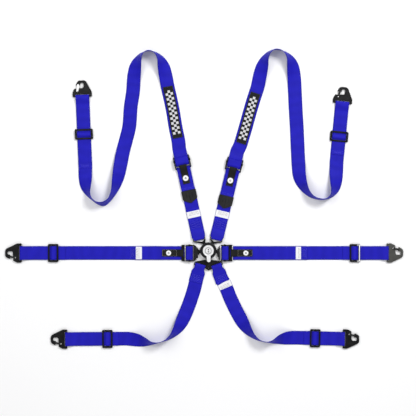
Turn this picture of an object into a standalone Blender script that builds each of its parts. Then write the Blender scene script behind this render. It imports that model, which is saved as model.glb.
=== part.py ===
"""Six-point racing harness laid out flat, as an assembly of separate pieces.

Metres, +Z up. The origin is the centre of the buckle's back face. +X runs to the right lap
strap, +Y to the shoulder straps, and the whole harness lies on the plane z = 0.
"""

import math

import bmesh
import bpy
from mathutils import Matrix, Vector

# Clearances
GAP = 0.0003                    # between neighbouring pieces
UP = Vector((0.0, 0.0, 1.0))

# Webbing
WEBBING_WIDTH = 0.050
WEBBING_THICKNESS = 0.0020
ROUTE_STEP = 0.014              # longest distance between two sections of a strap
ROW_PITCH = WEBBING_THICKNESS + GAP
LAYER_1 = WEBBING_THICKNESS / 2.0
LAYER_2 = LAYER_1 + ROW_PITCH
LAYER_3 = LAYER_2 + ROW_PITCH

# Buckle
HOUSING_RADIUS = 0.030
HOUSING_WALL = 0.003
HOUSING_HEIGHT = 0.0135
HOUSING_EDGE = 0.002
BACK_PLATE_INSET = 0.002        # from the housing's outside
BACK_PLATE_THICKNESS = 0.003
SPINDLE_RADIUS = 0.004
TONGUE_BOTTOM = 2.0 * ROW_PITCH  # clear of two layers of webbing
TONGUE_THICKNESS = 0.003
TONGUE_WIDTH = 0.012
TONGUE_TIP_RADIUS = 0.0125      # from the buckle's axis to a tongue's tip
NECK_CLEARANCE = 0.003          # from the housing to where a tongue widens
LATCH_HOLE_RADIUS = 0.0023
LATCH_HOLE_INSET = 0.007        # from the housing's inner wall
PIN_RADIUS = 0.0020
PIN_LENGTH = 0.0010
LOCK_PLATE_INSET = 0.0025       # from the housing's inner wall
LOCK_PLATE_THICKNESS = 0.0015
KNOB_RADIUS = 0.020
KNOB_THICKNESS = 0.0085
KNOB_BORE_RADIUS = 0.0095
LEVER_WIDTH = 0.014
LEVER_REACH = 0.0415
LEVER_ANGLE = math.radians(-87.0)
KNOB_CAP_RADIUS = 0.0125
KNOB_CAP_THICKNESS = 0.0015
SPRING_RADIUS = 0.0066
SPRING_WIRE_RADIUS = 0.0007
SPRING_TURNS = 3
ROUND_STEPS = 32
SLOT_PUNCH = 0.004              # a slot's cutter runs past the housing's wall on both sides

# Corner radii
SLOT_CORNER = 0.001
TIP_CORNER = 0.0015
NECK_CORNER = 0.002
BAR_CORNER = 0.0025
PLATE_CORNER = 0.004
ADJUSTER_CORNER = 0.006
HOOK_TIP_CORNER = 0.012
EYE_CORNER = 0.0055
PULL_TAB_CORNER = 0.008
PULL_TAB_POINT = 0.010

# Bars that webbing wraps
BAR_DEPTH = 0.006               # of a tongue's or bracket's bar, along the strap
FOLD_WIDTH = 0.038              # webbing is folded narrower round a tongue's bar
FOLD_TAPER = (0.010, 0.024)     # from the bar: where the fold starts to widen, and where it ends
SLOT_SIDE_GAP = 0.0013
BAR_RAMP = (0.006, 0.034)       # from a tongue's bar: where the top layer starts down, and where it is down
BRACKET_FOOT_DROP = 0.0165      # of the bracket's lowest point, below its left bar
BRACKET_HOLE_DROP = 0.0075
BRACKET_MIDDLE = 0.001
BRACKET_NECK_RISE = 0.006       # of the bracket's neck end, above the lap frames' edge
BRACKET_HOLE_RADIUS = 0.0022
SLOT_HALF_WIDTH = WEBBING_WIDTH / 2.0 + SLOT_SIDE_GAP
FOLD_SLOT_HALF_WIDTH = FOLD_WIDTH / 2.0 + SLOT_SIDE_GAP
ARM_WIDTH = 0.0037
FOLD_ARM_WIDTH = 0.0027

# Adjusters
ADJUSTER_THICKNESS = 0.003
ADJUSTER_BAR_DEPTH = 0.0047
RELEASE_SLOT_DEPTH = 0.005
RELEASE_BAR_DEPTH = 0.0065
LOCK_BAR_DEPTH = 0.008
LOCK_BAR_HEIGHT = 0.004
LOCK_BAR_TRAVEL = 0.004
LOCK_BAR_LIFT = 0.0058          # lock bar's centre above the adjuster plate's underside
LOCK_BAR_HALF_LENGTH = 0.0315
EAR_HEIGHT = 0.010
WRAP_REACH = 0.0113             # from the lock bar's centre to the webbing's upright stretch
BEND_RADIUS = 0.0021
CREST_RADIUS = 0.0025
CREST_RAMP = (-0.019, -0.008)   # from the lock bar: where the upper strap rises to its crest
LOWER_BAR_DEPTH = 0.0055
LOWER_RAMP = 0.015              # of the lower strap's top layer, from that bar down to the strap
LOOP_SLACK = 0.0002
SEAM_GAP = 0.001                # between the lower strap's two sewn ends
PULL_BAR_AT = -0.020            # the shoulder adjuster's pull bar, from its lock bar
PULL_BAR_DEPTH = 0.004
PULL_BAR_LIFT = 0.0115
PULL_BAR_THICKNESS = 0.0025
PULL_BAR_TAB_GAP = 0.0005
EAR_ENDS = (-0.009, 0.0125)     # along the strap, from the lock bar's centre
EAR_SINK = 0.002                # how far an ear reaches down into the plate
RELEASE_TAB_WIDTH = 0.026
RELEASE_TAB_THICKNESS = 0.0016
LAP_TAB_LENGTH = 0.071
LAP_TAB_RAMP = 0.015
SHOULDER_TAB_LENGTH = 0.066
SHOULDER_TAB_RAMP = 0.0295
PULL_TAB_WIDTH = 0.054
PULL_TAB_LENGTH = 0.049
PULL_TAB_THICKNESS = 0.0035
PULL_TAB_TAPER = 0.016          # length of its pointed end
TAB_BEND = 0.001
TAB_SIDE_GAP = 0.001

# Sliders
SLIDER_LENGTH = 0.038
SLIDER_HALF_WIDTH = 0.033
SLIDER_THICKNESS = 0.003
SLIDER_END_BAR = 0.006
SLIDER_CENTRE_BAR = 0.008
HUMP_REACH = 0.0055             # of the webbing's hump, past the centre bar
HUMP_BEND = 0.001

# Snap hooks
HOOK_THICKNESS = 0.003
HOOK_BAR_DEPTH = 0.005
HOOK_LENGTH = 0.060
HOOK_HALF_WIDTH = 0.035
HOOK_SLOT_DEPTH = 0.0045
HOOK_SHOULDER = 0.0165          # full-width part, from the rear edge
HOOK_TIP_HALF_WIDTH = 0.014
EYE_LENGTH = 0.019
EYE_WIDTH = 0.012
EYE_TIP_WALL = 0.0085
THROAT_WIDTH = 0.0085
THROAT_FLARE = 0.002
HOOK_RAMP = (0.006, 0.032)      # behind the hook's bar, as on a tongue's bar
GATE_WIDTH = 0.0070
GATE_THICKNESS = 0.0014
GATE_PIN_RADIUS = 0.0019
GATE_PIVOT = (0.020, 0.017)
GATE_TIP = (0.0430, 0.0125)

# Patches
PATCH_WIDTH = 0.037
PATCH_LENGTH = 0.192
PATCH_THICKNESS = 0.0014

# Places and levels that follow from the sizes above
HOUSING_INNER_RADIUS = HOUSING_RADIUS - HOUSING_WALL
BACK_PLATE_RADIUS = HOUSING_RADIUS - BACK_PLATE_INSET
LOCK_PLATE_RADIUS = HOUSING_INNER_RADIUS - LOCK_PLATE_INSET
LATCH_HOLE_AT = HOUSING_INNER_RADIUS - LATCH_HOLE_INSET
NECK_END_RADIUS = HOUSING_RADIUS + NECK_CLEARANCE
HOUSING_BOTTOM = BACK_PLATE_THICKNESS + GAP
HOUSING_TOP = HOUSING_BOTTOM + HOUSING_HEIGHT
TONGUE_TOP = TONGUE_BOTTOM + TONGUE_THICKNESS
PIN_BOTTOM = TONGUE_TOP + GAP
LOCK_PLATE_BOTTOM = PIN_BOTTOM + PIN_LENGTH
KNOB_BOTTOM = HOUSING_TOP + GAP
KNOB_TOP = KNOB_BOTTOM + KNOB_THICKNESS
LAP_ADJUSTER_BOTTOM = TONGUE_BOTTOM
SHOULDER_ADJUSTER_BOTTOM = ROW_PITCH
SLIDER_BOTTOM = 2.0 * ROW_PITCH
HOOK_BAR_SWEEP = math.hypot(HOOK_BAR_DEPTH, HOOK_THICKNESS) / 2.0
HOOK_LOOP_RADIUS = HOOK_BAR_SWEEP + GAP + WEBBING_THICKNESS / 2.0
HOOK_BAR_LEVEL = LAYER_1 + HOOK_LOOP_RADIUS
HOOK_BOTTOM = HOOK_BAR_LEVEL - HOOK_THICKNESS / 2.0
BAR_LOOP_RADIUS = (TONGUE_TOP + GAP + WEBBING_THICKNESS / 2.0 - LAYER_1) / 2.0
BAR_SLOT_DEPTH = BAR_LOOP_RADIUS + WEBBING_THICKNESS / 2.0 + GAP
LOWER_LOOP_TOP = SHOULDER_ADJUSTER_BOTTOM + ADJUSTER_THICKNESS + GAP + WEBBING_THICKNESS / 2.0
LOWER_LOOP_RADIUS = (LOWER_LOOP_TOP - LAYER_1) / 2.0
WINDOW_OUTER = WRAP_REACH + WEBBING_THICKNESS / 2.0 + 0.001
LAP_WINDOW_INNER = -0.0155
LAP_FRAME_INNER = -0.0185
LOWER_BAR_OUTER = -0.0245       # edge of the shoulder adjuster's lower bar, towards the lock bar

# Layout on the ground
LAP_LEVEL_Y = -0.009
LAP_ADJUSTERS = {"left": -0.0685, "right": 0.0610}
LAP_TAIL_ENDS = {"left": -0.269, "right": 0.360}
LAP_SLIDERS = {"left": -0.565, "right": 0.534}
LAP_HOOK_BARS = {"left": -0.6825, "right": 0.6525}
LAP_RETURN = 0.045              # return layer past the slider's centre
STRAIGHT_END = 0.036            # end of a strap's straight stretch, from its bar or lock bar
ROUTE_START = 0.045             # start of its curved route

SHOULDER_TONGUE_ANGLE = {"left": math.radians(120.0), "right": math.radians(60.0)}
SHOULDER_BARS = {"left": (-0.0345, 0.046), "right": (0.0305, 0.046)}
SHOULDER_ADJUSTERS = {"left": (-0.0965, 0.3275), "right": (0.0955, 0.3185)}
SHOULDER_TAILS = {"left": 0.110, "right": 0.122}  # from the lock bar to the end of the blue tail
SHOULDER_SEAM = 0.140           # from the tongue's bar to the lower strap's seam
PATCH_START = {"left": 0.084, "right": 0.076}

# Routes: x, y and the tilt of the webbing in degrees, positive where its left edge is raised
SHOULDER_ROUTES = {
    "left": [
        (-0.1090, 0.3990, 0), (-0.1180, 0.4430, 0), (-0.1290, 0.5090, 0), (-0.1380, 0.5530, 0),
        (-0.1480, 0.5970, 2), (-0.1560, 0.6400, 12), (-0.1635, 0.6740, 34), (-0.1730, 0.6980, 60),
        (-0.1860, 0.7140, 76), (-0.2060, 0.7250, 84), (-0.2260, 0.7240, 84), (-0.2430, 0.7140, 74),
        (-0.2560, 0.6940, 52), (-0.2650, 0.6700, 28), (-0.2700, 0.6400, 10), (-0.2750, 0.5750, 0),
        (-0.2820, 0.5310, 0), (-0.2900, 0.4430, 0), (-0.3010, 0.4000, 0), (-0.3120, 0.3560, -4),
        (-0.3200, 0.3120, -14), (-0.3275, 0.2680, -34), (-0.3350, 0.2360, -54), (-0.3460, 0.2060, -72),
        (-0.3620, 0.1820, -78), (-0.3810, 0.1700, -73), (-0.4020, 0.1730, -80), (-0.4200, 0.1850, -82),
        (-0.4360, 0.2060, -66), (-0.4450, 0.2330, -36), (-0.4480, 0.2640, -12),
    ],
    "right": [
        (0.1140, 0.3780, 0), (0.1280, 0.4210, 0), (0.1530, 0.5090, 0), (0.1660, 0.5530, 0),
        (0.1800, 0.5970, -2), (0.1890, 0.6400, -12), (0.1970, 0.6740, -34), (0.2060, 0.7000, -60),
        (0.2200, 0.7190, -76), (0.2400, 0.7300, -84), (0.2600, 0.7290, -84), (0.2800, 0.7190, -76),
        (0.2970, 0.7000, -56), (0.3070, 0.6740, -30), (0.3120, 0.6400, -10), (0.3160, 0.5750, 0),
        (0.3180, 0.5310, 0), (0.3230, 0.4430, 0), (0.3270, 0.3560, 0), (0.3290, 0.3120, 8),
        (0.3330, 0.2680, 26), (0.3420, 0.2400, 48), (0.3560, 0.2160, 68), (0.3760, 0.1970, 80),
        (0.4000, 0.1880, 86), (0.4250, 0.1880, 86), (0.4460, 0.1990, 74), (0.4600, 0.2220, 50),
        (0.4650, 0.2560, 22), (0.4665, 0.2860, 6),
    ],
}
SHOULDER_HOOK_STRAIGHTS = {"left": (-0.4485, 0.3100), "right": (0.4680, 0.3250)}
SHOULDER_HOOK_BARS = {"left": (-0.4590, 0.5625), "right": (0.4885, 0.5385)}
SHOULDER_SLIDER_BACK = {"left": 0.1385, "right": 0.1235}
SHOULDER_RETURN = {"left": 0.262, "right": 0.190}

CROTCH_BAR_PLACES = {"left": (-0.0300, -0.00655), "right": (0.0310, -0.00755)}  # from the lap frames' edge
LAP_EDGE_Y = LAP_LEVEL_Y - SLOT_HALF_WIDTH - ARM_WIDTH
BRACKET_NECK_END = max(NECK_END_RADIUS, -LAP_EDGE_Y - BRACKET_NECK_RISE)
CROTCH_BAR_REACH = BAR_DEPTH / 2.0 + BAR_SLOT_DEPTH + FOLD_ARM_WIDTH
CROTCH_BARS = {side: (x, LAP_EDGE_Y - CROTCH_BAR_REACH + y) for side, (x, y) in CROTCH_BAR_PLACES.items()}
BRACKET_FOOT = (BRACKET_MIDDLE, CROTCH_BARS["left"][1] - BRACKET_FOOT_DROP)
BRACKET_HOLE = (BRACKET_MIDDLE, CROTCH_BARS["left"][1] - BRACKET_HOLE_DROP)
CROTCH_HEADINGS = {"left": math.radians(254.0), "right": math.radians(290.0)}
CROTCH_SEWN_END = 0.062
CROTCH_ROUTES = {
    "left": [
        (-0.0480, -0.1260, 0), (-0.0610, -0.1700, 0), (-0.0780, -0.2170, -4), (-0.0950, -0.2560, -18),
        (-0.1110, -0.2850, -44), (-0.1300, -0.3080, -66), (-0.1530, -0.3240, -80), (-0.1790, -0.3330, -84),
        (-0.2050, -0.3360, -72), (-0.2320, -0.3320, -44), (-0.2600, -0.3260, -16),
    ],
    "right": [
        (0.0610, -0.1260, 0), (0.0790, -0.1700, 0), (0.1010, -0.2170, 4), (0.1220, -0.2560, 18),
        (0.1400, -0.2850, 44), (0.1600, -0.3080, 66), (0.1830, -0.3240, 80), (0.2080, -0.3310, 84),
        (0.2340, -0.3300, 70), (0.2620, -0.3230, 40), (0.2880, -0.3190, 14),
    ],
}
CROTCH_HOOK_STRAIGHTS = {"left": (-0.2950, -0.3215), "right": (0.3200, -0.3180)}
CROTCH_HOOK_BARS = {"left": (-0.5165, -0.3230), "right": (0.4925, -0.3220)}
CROTCH_SLIDER_BACK = {"left": 0.1490, "right": 0.1030}
CROTCH_RETURN = {"left": 0.190, "right": 0.145}

SIDES = ("left", "right")


class Line:
    """A straight run on the ground: u goes along the heading, v to its left, z up."""

    def __init__(self, origin, heading):
        self.origin = Vector((origin[0], origin[1], 0.0))
        self.along = Vector((heading[0], heading[1], 0.0)).normalized()
        self.across = Vector((-self.along.y, self.along.x, 0.0))

    def at(self, u, v=0.0, z=0.0):
        return self.origin + self.along * u + self.across * v + UP * z

    def flat(self, u, v=0.0):
        point = self.at(u, v)
        return (point.x, point.y)

    def sections(self, profile, folded=False):
        """Strap sections for (u, z) points of a run that stays on this line."""
        return [(self.at(u, 0.0, z), self.across * (fold_share(u) if folded else 1.0)) for u, z in profile]


def fold_share(u):
    """Share of the webbing's width, at a distance from the bar that it is folded round."""
    start, end = FOLD_TAPER
    part = min(1.0, max(0.0, (u - start) / (end - start)))
    narrow = FOLD_WIDTH / WEBBING_WIDTH
    return narrow + (1.0 - narrow) * part


def line_between(start, end):
    return Line(start, (end[0] - start[0], end[1] - start[1]))


def line_at_angle(origin, angle):
    return Line(origin, (math.cos(angle), math.sin(angle)))


# Scene and objects

def clear_scene():
    for item in list(bpy.data.objects):
        bpy.data.objects.remove(item, do_unlink=True)


def collection(name):
    made = bpy.data.collections.new(name)
    bpy.context.scene.collection.children.link(made)
    return made


def finish_material(name, colour, roughness, metallic):
    made = bpy.data.materials.new(name)
    made.use_nodes = True
    shader = made.node_tree.nodes["Principled BSDF"]
    shader.inputs["Base Color"].default_value = (*colour, 1.0)
    shader.inputs["Roughness"].default_value = roughness
    shader.inputs["Metallic"].default_value = metallic
    return made


def mesh_object(name, mesh, target, material=None):
    made = bpy.data.objects.new(name, mesh)
    target.objects.link(made)
    if material is not None:
        mesh.materials.append(material)
    return made


def bmesh_object(name, bm, target, material=None):
    mesh = bpy.data.meshes.new(name)
    bm.to_mesh(mesh)
    bm.free()
    return mesh_object(name, mesh, target, material)


def cutter(made):
    made.hide_render = True
    made.display_type = "WIRE"
    return made


def boolean(target, tool, operation):
    change = target.modifiers.new(f"{operation.lower()}_{tool.name}", "BOOLEAN")
    change.operation = operation
    change.solver = "EXACT"
    change.object = tool


def set_origin(made, point):
    """Moves an object's origin onto its joint and leaves its shape where it is."""
    made.data.transform(Matrix.Translation(-point))
    made.location = point


# Shapes

def rounded(corners, steps=3):
    """Outline through (x, y, radius) corners, each rounded by an arc."""
    outline = []
    count = len(corners)
    for index, (x, y, radius) in enumerate(corners):
        corner = Vector((x, y))
        before = Vector(corners[index - 1][:2])
        after = Vector(corners[(index + 1) % count][:2])
        if radius <= 0.0:
            outline.append((x, y))
            continue
        to_before = (before - corner).normalized()
        to_after = (after - corner).normalized()
        half = to_before.angle(to_after) / 2.0
        setback = radius / math.tan(half)
        centre = corner + (to_before + to_after).normalized() * (radius / math.sin(half))
        start = corner + to_before * setback - centre
        end = corner + to_after * setback - centre
        sweep = start.angle_signed(end)
        for step in range(steps + 1):
            turn = Matrix.Rotation(-sweep * step / steps, 2)
            outline.append(tuple(centre + turn @ start))
    return outline


def circle(centre, radius, steps=8):
    x, y = centre
    angles = [2.0 * math.pi * step / steps for step in range(steps)]
    return [(x + radius * math.cos(angle), y + radius * math.sin(angle)) for angle in angles]


def plate(name, outlines, bottom, thickness, target, material=None):
    """Flat plate from an outer outline and its holes, made a closed mesh."""
    curve = bpy.data.curves.new(f"{name}_outline", "CURVE")
    curve.dimensions = "2D"
    curve.fill_mode = "BOTH"
    curve.extrude = thickness / 2.0
    for outline in outlines:
        spline = curve.splines.new("POLY")
        spline.points.add(len(outline) - 1)
        for point, (x, y) in zip(spline.points, outline):
            point.co = (x, y, 0.0, 1.0)
        spline.use_cyclic_u = True
    guide = bpy.data.objects.new(f"{name}_guide", curve)
    target.objects.link(guide)
    bpy.context.view_layer.update()
    evaluated = guide.evaluated_get(bpy.context.evaluated_depsgraph_get())
    mesh = bpy.data.meshes.new_from_object(evaluated)
    mesh.name = name
    bpy.data.objects.remove(guide, do_unlink=True)
    mesh.transform(Matrix.Translation((0.0, 0.0, bottom + thickness / 2.0)))
    bm = bmesh.new()
    bm.from_mesh(mesh)
    bmesh.ops.remove_doubles(bm, verts=bm.verts, dist=0.000002)
    bmesh.ops.recalc_face_normals(bm, faces=bm.faces)
    bm.to_mesh(mesh)
    bm.free()
    mesh.materials.clear()
    return mesh_object(name, mesh, target, material)


def box(name, line, u_range, v_range, z_range, target, material=None):
    """Box aligned with a line."""
    bm = bmesh.new()
    bmesh.ops.create_cube(bm, size=1.0)
    middle = line.at(sum(u_range) / 2.0, sum(v_range) / 2.0, sum(z_range) / 2.0)
    size = (u_range[1] - u_range[0], v_range[1] - v_range[0], z_range[1] - z_range[0])
    turn = Matrix.Rotation(math.atan2(line.along.y, line.along.x), 4, "Z")
    place = Matrix.Translation(middle) @ turn @ Matrix.Diagonal((*size, 1.0))
    bmesh.ops.transform(bm, matrix=place, verts=bm.verts)
    return bmesh_object(name, bm, target, material)


def cylinder(name, centre, radius, z_range, steps, target, material=None):
    bm = bmesh.new()
    bmesh.ops.create_cone(
        bm, cap_ends=True, segments=steps, radius1=radius, radius2=radius, depth=z_range[1] - z_range[0]
    )
    place = Matrix.Translation((centre[0], centre[1], sum(z_range) / 2.0))
    bmesh.ops.transform(bm, matrix=place, verts=bm.verts)
    made = bmesh_object(name, bm, target, material)
    made.data.shade_smooth()
    made.data.set_sharp_from_angle(angle=math.radians(50.0))
    return made


def turned(name, profile, closed, target, material=None):
    """Turned shape about Z. The profile at +X runs down its outer side."""
    bm = bmesh.new()
    points = [bm.verts.new((radius, 0.0, z)) for radius, z in profile]
    for first, second in zip(points, points[1:]):
        bm.edges.new((first, second))
    if closed:
        bm.edges.new((points[-1], points[0]))
    made = bmesh_object(name, bm, target, material)
    screw = made.modifiers.new("turn", "SCREW")
    screw.steps = ROUND_STEPS
    screw.render_steps = ROUND_STEPS
    screw.use_merge_vertices = True
    screw.merge_threshold = 0.00001
    screw.use_smooth_shade = True
    return made


def ribbon(name, sections, width, thickness, target, material):
    """Strip of webbing: an edge drawn along its sections, then thickened."""
    bm = bmesh.new()
    centre, across = sections[0]
    low = bm.verts.new(centre - across * width / 2.0)
    high = bm.verts.new(centre + across * width / 2.0)
    edge = bm.edges.new((low, high))
    for centre, across in sections[1:]:
        anchor = low.co.copy()
        grown = bmesh.ops.extrude_edge_only(bm, edges=[edge])["geom"]
        edge = next(item for item in grown if isinstance(item, bmesh.types.BMEdge))
        low, high = sorted(edge.verts, key=lambda vert: (vert.co - anchor).length)
        low.co = centre - across * width / 2.0
        high.co = centre + across * width / 2.0
    made = bmesh_object(name, bm, target, material)
    thick = made.modifiers.new("thickness", "SOLIDIFY")
    thick.thickness = thickness
    thick.offset = 0.0
    thick.use_even_offset = True
    return made


# Profiles of straps, as (u, z) points

def arc(centre, radius, start, end, steps):
    """Arc in the (u, z) plane. Angles in degrees from +u towards +z."""
    return [
        (
            centre[0] + radius * math.cos(math.radians(start + (end - start) * step / steps)),
            centre[1] + radius * math.sin(math.radians(start + (end - start) * step / steps)),
        )
        for step in range(steps + 1)
    ]


def slope(start, end, steps=4):
    """S-shaped ramp between two levels."""
    points = []
    for step in range(steps + 1):
        part = step / steps
        rise = part * part * (3.0 - 2.0 * part)
        points.append((start[0] + (end[0] - start[0]) * part, start[1] + (end[1] - start[1]) * rise))
    return points


def hook_turn(bar, return_length):
    """Round a snap hook's bar at u = bar and back over the strap."""
    top = HOOK_BAR_LEVEL + HOOK_LOOP_RADIUS
    turn = arc((bar, HOOK_BAR_LEVEL), HOOK_LOOP_RADIUS, -90.0, 90.0, 8)
    ramp = slope((bar - HOOK_RAMP[0], top), (bar - HOOK_RAMP[1], LAYER_2))
    return turn + ramp + [(bar - return_length, LAYER_2)]


def bar_turn(sewn_end):
    """From a sewn end, round a tongue's bar at u = 0, to the strap's bottom layer."""
    top = LAYER_1 + 2.0 * BAR_LOOP_RADIUS
    centre = (-BAR_DEPTH / 2.0, LAYER_1 + BAR_LOOP_RADIUS)
    ramp = slope((BAR_RAMP[1], LAYER_2), (BAR_RAMP[0], top))
    return [(sewn_end, LAYER_2)] + ramp + arc(centre, BAR_LOOP_RADIUS, 90.0, 270.0, 8)


def wrap_over_lock_bar(plate_bottom, layer):
    """From the upright stretch's foot, up to the crest over the lock bar (u falling)."""
    crest = plate_bottom + LOCK_BAR_LIFT + LOCK_BAR_HEIGHT / 2.0 + GAP + WEBBING_THICKNESS / 2.0
    foot = arc((WRAP_REACH + BEND_RADIUS, layer + BEND_RADIUS), BEND_RADIUS, 270.0, 180.0, 4)
    shoulder = arc((WRAP_REACH - CREST_RADIUS, crest - CREST_RADIUS), CREST_RADIUS, 0.0, 90.0, 4)
    return foot + shoulder, crest


def spread(points, longest=0.06):
    """The same points with long straights divided, so that no face is a sliver."""
    out = [points[0]]
    for (u0, z0), (u1, z1) in zip(points, points[1:]):
        parts = max(1, math.ceil(math.hypot(u1 - u0, z1 - z0) / longest))
        for step in range(1, parts + 1):
            out.append((u0 + (u1 - u0) * step / parts, z0 + (z1 - z0) * step / parts))
    return out


def smooth_route(points, step):
    """Sections of a strap along a smooth curve through (x, y, tilt) points."""
    knots = [Vector(point) for point in points]
    spans = [(knots[i + 1].xy - knots[i].xy).length for i in range(len(knots) - 1)]
    slopes = []
    for index in range(len(knots)):
        if index == 0:
            slopes.append((knots[1] - knots[0]) / spans[0])
        elif index == len(knots) - 1:
            slopes.append((knots[-1] - knots[-2]) / spans[-1])
        else:
            before = (knots[index] - knots[index - 1]) / spans[index - 1]
            after = (knots[index + 1] - knots[index]) / spans[index]
            both = spans[index - 1] + spans[index]
            slopes.append((before * spans[index] + after * spans[index - 1]) / both)
    sections = []
    for index, span in enumerate(spans):
        start, end = knots[index], knots[index + 1]
        out, into = slopes[index] * span, slopes[index + 1] * span
        parts = max(1, math.ceil(span / step))
        last = 1 if index == len(spans) - 1 else 0
        for part in range(parts + last):
            t = part / parts
            place = (
                start * (2 * t**3 - 3 * t**2 + 1)
                + out * (t**3 - 2 * t**2 + t)
                + end * (-2 * t**3 + 3 * t**2)
                + into * (t**3 - t**2)
            )
            heading = (
                start * (6 * t**2 - 6 * t)
                + out * (3 * t**2 - 4 * t + 1)
                + end * (-6 * t**2 + 6 * t)
                + into * (3 * t**2 - 2 * t)
            )
            sections.append(tilted_section(place, heading))
    return sections


def tilted_section(place, heading):
    """One section whose lower edge rests on the ground."""
    along = Vector((heading.x, heading.y, 0.0)).normalized()
    left = Vector((-along.y, along.x, 0.0))
    tilt = math.radians(place.z)
    across = left * math.cos(tilt) + UP * math.sin(tilt)
    height = abs(math.sin(tilt)) * WEBBING_WIDTH / 2.0 + math.cos(tilt) * WEBBING_THICKNESS / 2.0
    return Vector((place.x, place.y, height)), across


def lifted_portion(sections, start, length, lift):
    """Sections between two distances along a strap, raised off its face."""
    out = []
    travelled = 0.0
    for (a, across_a), (b, across_b) in zip(sections, sections[1:]):
        span = (b - a).length
        for distance in (start, start + length):
            if travelled <= distance < travelled + span:
                part = (distance - travelled) / span
                out.append((distance, a.lerp(b, part), across_a.lerp(across_b, part), b - a))
        if start < travelled + span < start + length:
            out.append((travelled + span, b.copy(), across_b.copy(), b - a))
        travelled += span
    out.sort(key=lambda item: item[0])
    return [
        (centre + run.cross(across).normalized() * lift, across.normalized())
        for _, centre, across, run in out
    ]


# Lines that more than one piece follows

def lap_line(side):
    """From the lock bar's centre, outward."""
    heading = (-1.0, 0.0) if side == "left" else (1.0, 0.0)
    return Line((LAP_ADJUSTERS[side], LAP_LEVEL_Y), heading)


def lap_hook_bar(side):
    return abs(LAP_HOOK_BARS[side] - LAP_ADJUSTERS[side])


def lap_tongue_line(side):
    return line_between((0.0, 0.0), (LAP_ADJUSTERS[side], LAP_LEVEL_Y))


def shoulder_line(side):
    """From the tongue's bar, outward to the adjuster."""
    return line_between(SHOULDER_BARS[side], SHOULDER_ADJUSTERS[side])


def shoulder_lock_line(side):
    """The same line with its origin at the lock bar's centre."""
    line = shoulder_line(side)
    return Line(SHOULDER_ADJUSTERS[side], line.along)


def shoulder_tongue_line(side):
    return line_at_angle((0.0, 0.0), SHOULDER_TONGUE_ANGLE[side])


def crotch_line(side):
    return line_at_angle(CROTCH_BARS[side], CROTCH_HEADINGS[side])


def crotch_tongue_line():
    return line_at_angle((0.0, 0.0), math.radians(270.0))


def hook_line(group, side):
    """Origin at the snap hook's bar, heading to its tip."""
    if group == "lap":
        line = lap_line(side)
        return Line(line.flat(lap_hook_bar(side)), line.along)
    straights = {"shoulder": SHOULDER_HOOK_STRAIGHTS, "crotch": CROTCH_HOOK_STRAIGHTS}[group]
    bars = {"shoulder": SHOULDER_HOOK_BARS, "crotch": CROTCH_HOOK_BARS}[group]
    return Line(bars[side], line_between(straights[side], bars[side]).along)


def slider_back(group, side):
    """From the snap hook's bar back to the slider's centre."""
    if group == "lap":
        return abs(LAP_HOOK_BARS[side] - LAP_SLIDERS[side])
    return {"shoulder": SHOULDER_SLIDER_BACK, "crotch": CROTCH_SLIDER_BACK}[group][side]


def slider_line(group, side):
    line = hook_line(group, side)
    return Line(line.flat(-slider_back(group, side)), line.along)


def tongue_lines():
    lines = [lap_tongue_line(side) for side in SIDES]
    lines += [shoulder_tongue_line(side) for side in SIDES]
    lines.append(crotch_tongue_line())
    return lines


# Buckle

def make_buckle(parts, tools, looks):
    turned("buckle_back_plate", [
        (0.0, BACK_PLATE_THICKNESS),
        (BACK_PLATE_RADIUS - HOUSING_EDGE / 2.0, BACK_PLATE_THICKNESS),
        (BACK_PLATE_RADIUS, BACK_PLATE_THICKNESS - HOUSING_EDGE / 2.0),
        (BACK_PLATE_RADIUS, 0.0),
        (0.0, 0.0),
    ], False, parts, looks["steel_black"])

    bore = SPINDLE_RADIUS + GAP
    inner = HOUSING_INNER_RADIUS
    housing = turned("buckle_housing", [
        (bore, HOUSING_TOP),
        (HOUSING_RADIUS - HOUSING_EDGE, HOUSING_TOP),
        (HOUSING_RADIUS, HOUSING_TOP - HOUSING_EDGE),
        (HOUSING_RADIUS, HOUSING_BOTTOM),
        (inner, HOUSING_BOTTOM),
        (inner, HOUSING_TOP - HOUSING_WALL),
        (bore, HOUSING_TOP - HOUSING_WALL),
    ], True, parts, looks["plastic_black"])
    for index, line in enumerate(tongue_lines()):
        slot = box(
            f"housing_slot_{index}", line,
            (inner - SLOT_PUNCH, HOUSING_RADIUS + SLOT_PUNCH),
            (-TONGUE_WIDTH / 2.0 - GAP, TONGUE_WIDTH / 2.0 + GAP),
            (TONGUE_BOTTOM - GAP, TONGUE_TOP + GAP), tools,
        )
        boolean(housing, cutter(slot), "DIFFERENCE")

    cylinder(
        "buckle_spindle", (0.0, 0.0), SPINDLE_RADIUS,
        (BACK_PLATE_THICKNESS + GAP, KNOB_TOP - GAP), 16, parts, looks["steel"],
    )

    lock_plate = turned("buckle_lock_plate", [
        (bore, LOCK_PLATE_BOTTOM + LOCK_PLATE_THICKNESS),
        (LOCK_PLATE_RADIUS, LOCK_PLATE_BOTTOM + LOCK_PLATE_THICKNESS),
        (LOCK_PLATE_RADIUS, LOCK_PLATE_BOTTOM),
        (bore, LOCK_PLATE_BOTTOM),
    ], True, parts, looks["steel"])
    for index, line in enumerate(tongue_lines()):
        pin = cylinder(
            f"lock_pin_{index}", line.flat(LATCH_HOLE_AT), PIN_RADIUS,
            (PIN_BOTTOM, LOCK_PLATE_BOTTOM + LOCK_PLATE_THICKNESS / 2.0), 8, tools,
        )
        boolean(lock_plate, cutter(pin), "UNION")

    lever = line_at_angle((0.0, 0.0), LEVER_ANGLE)
    make_knob(lever, parts, looks)
    make_spring(parts, looks)


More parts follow.
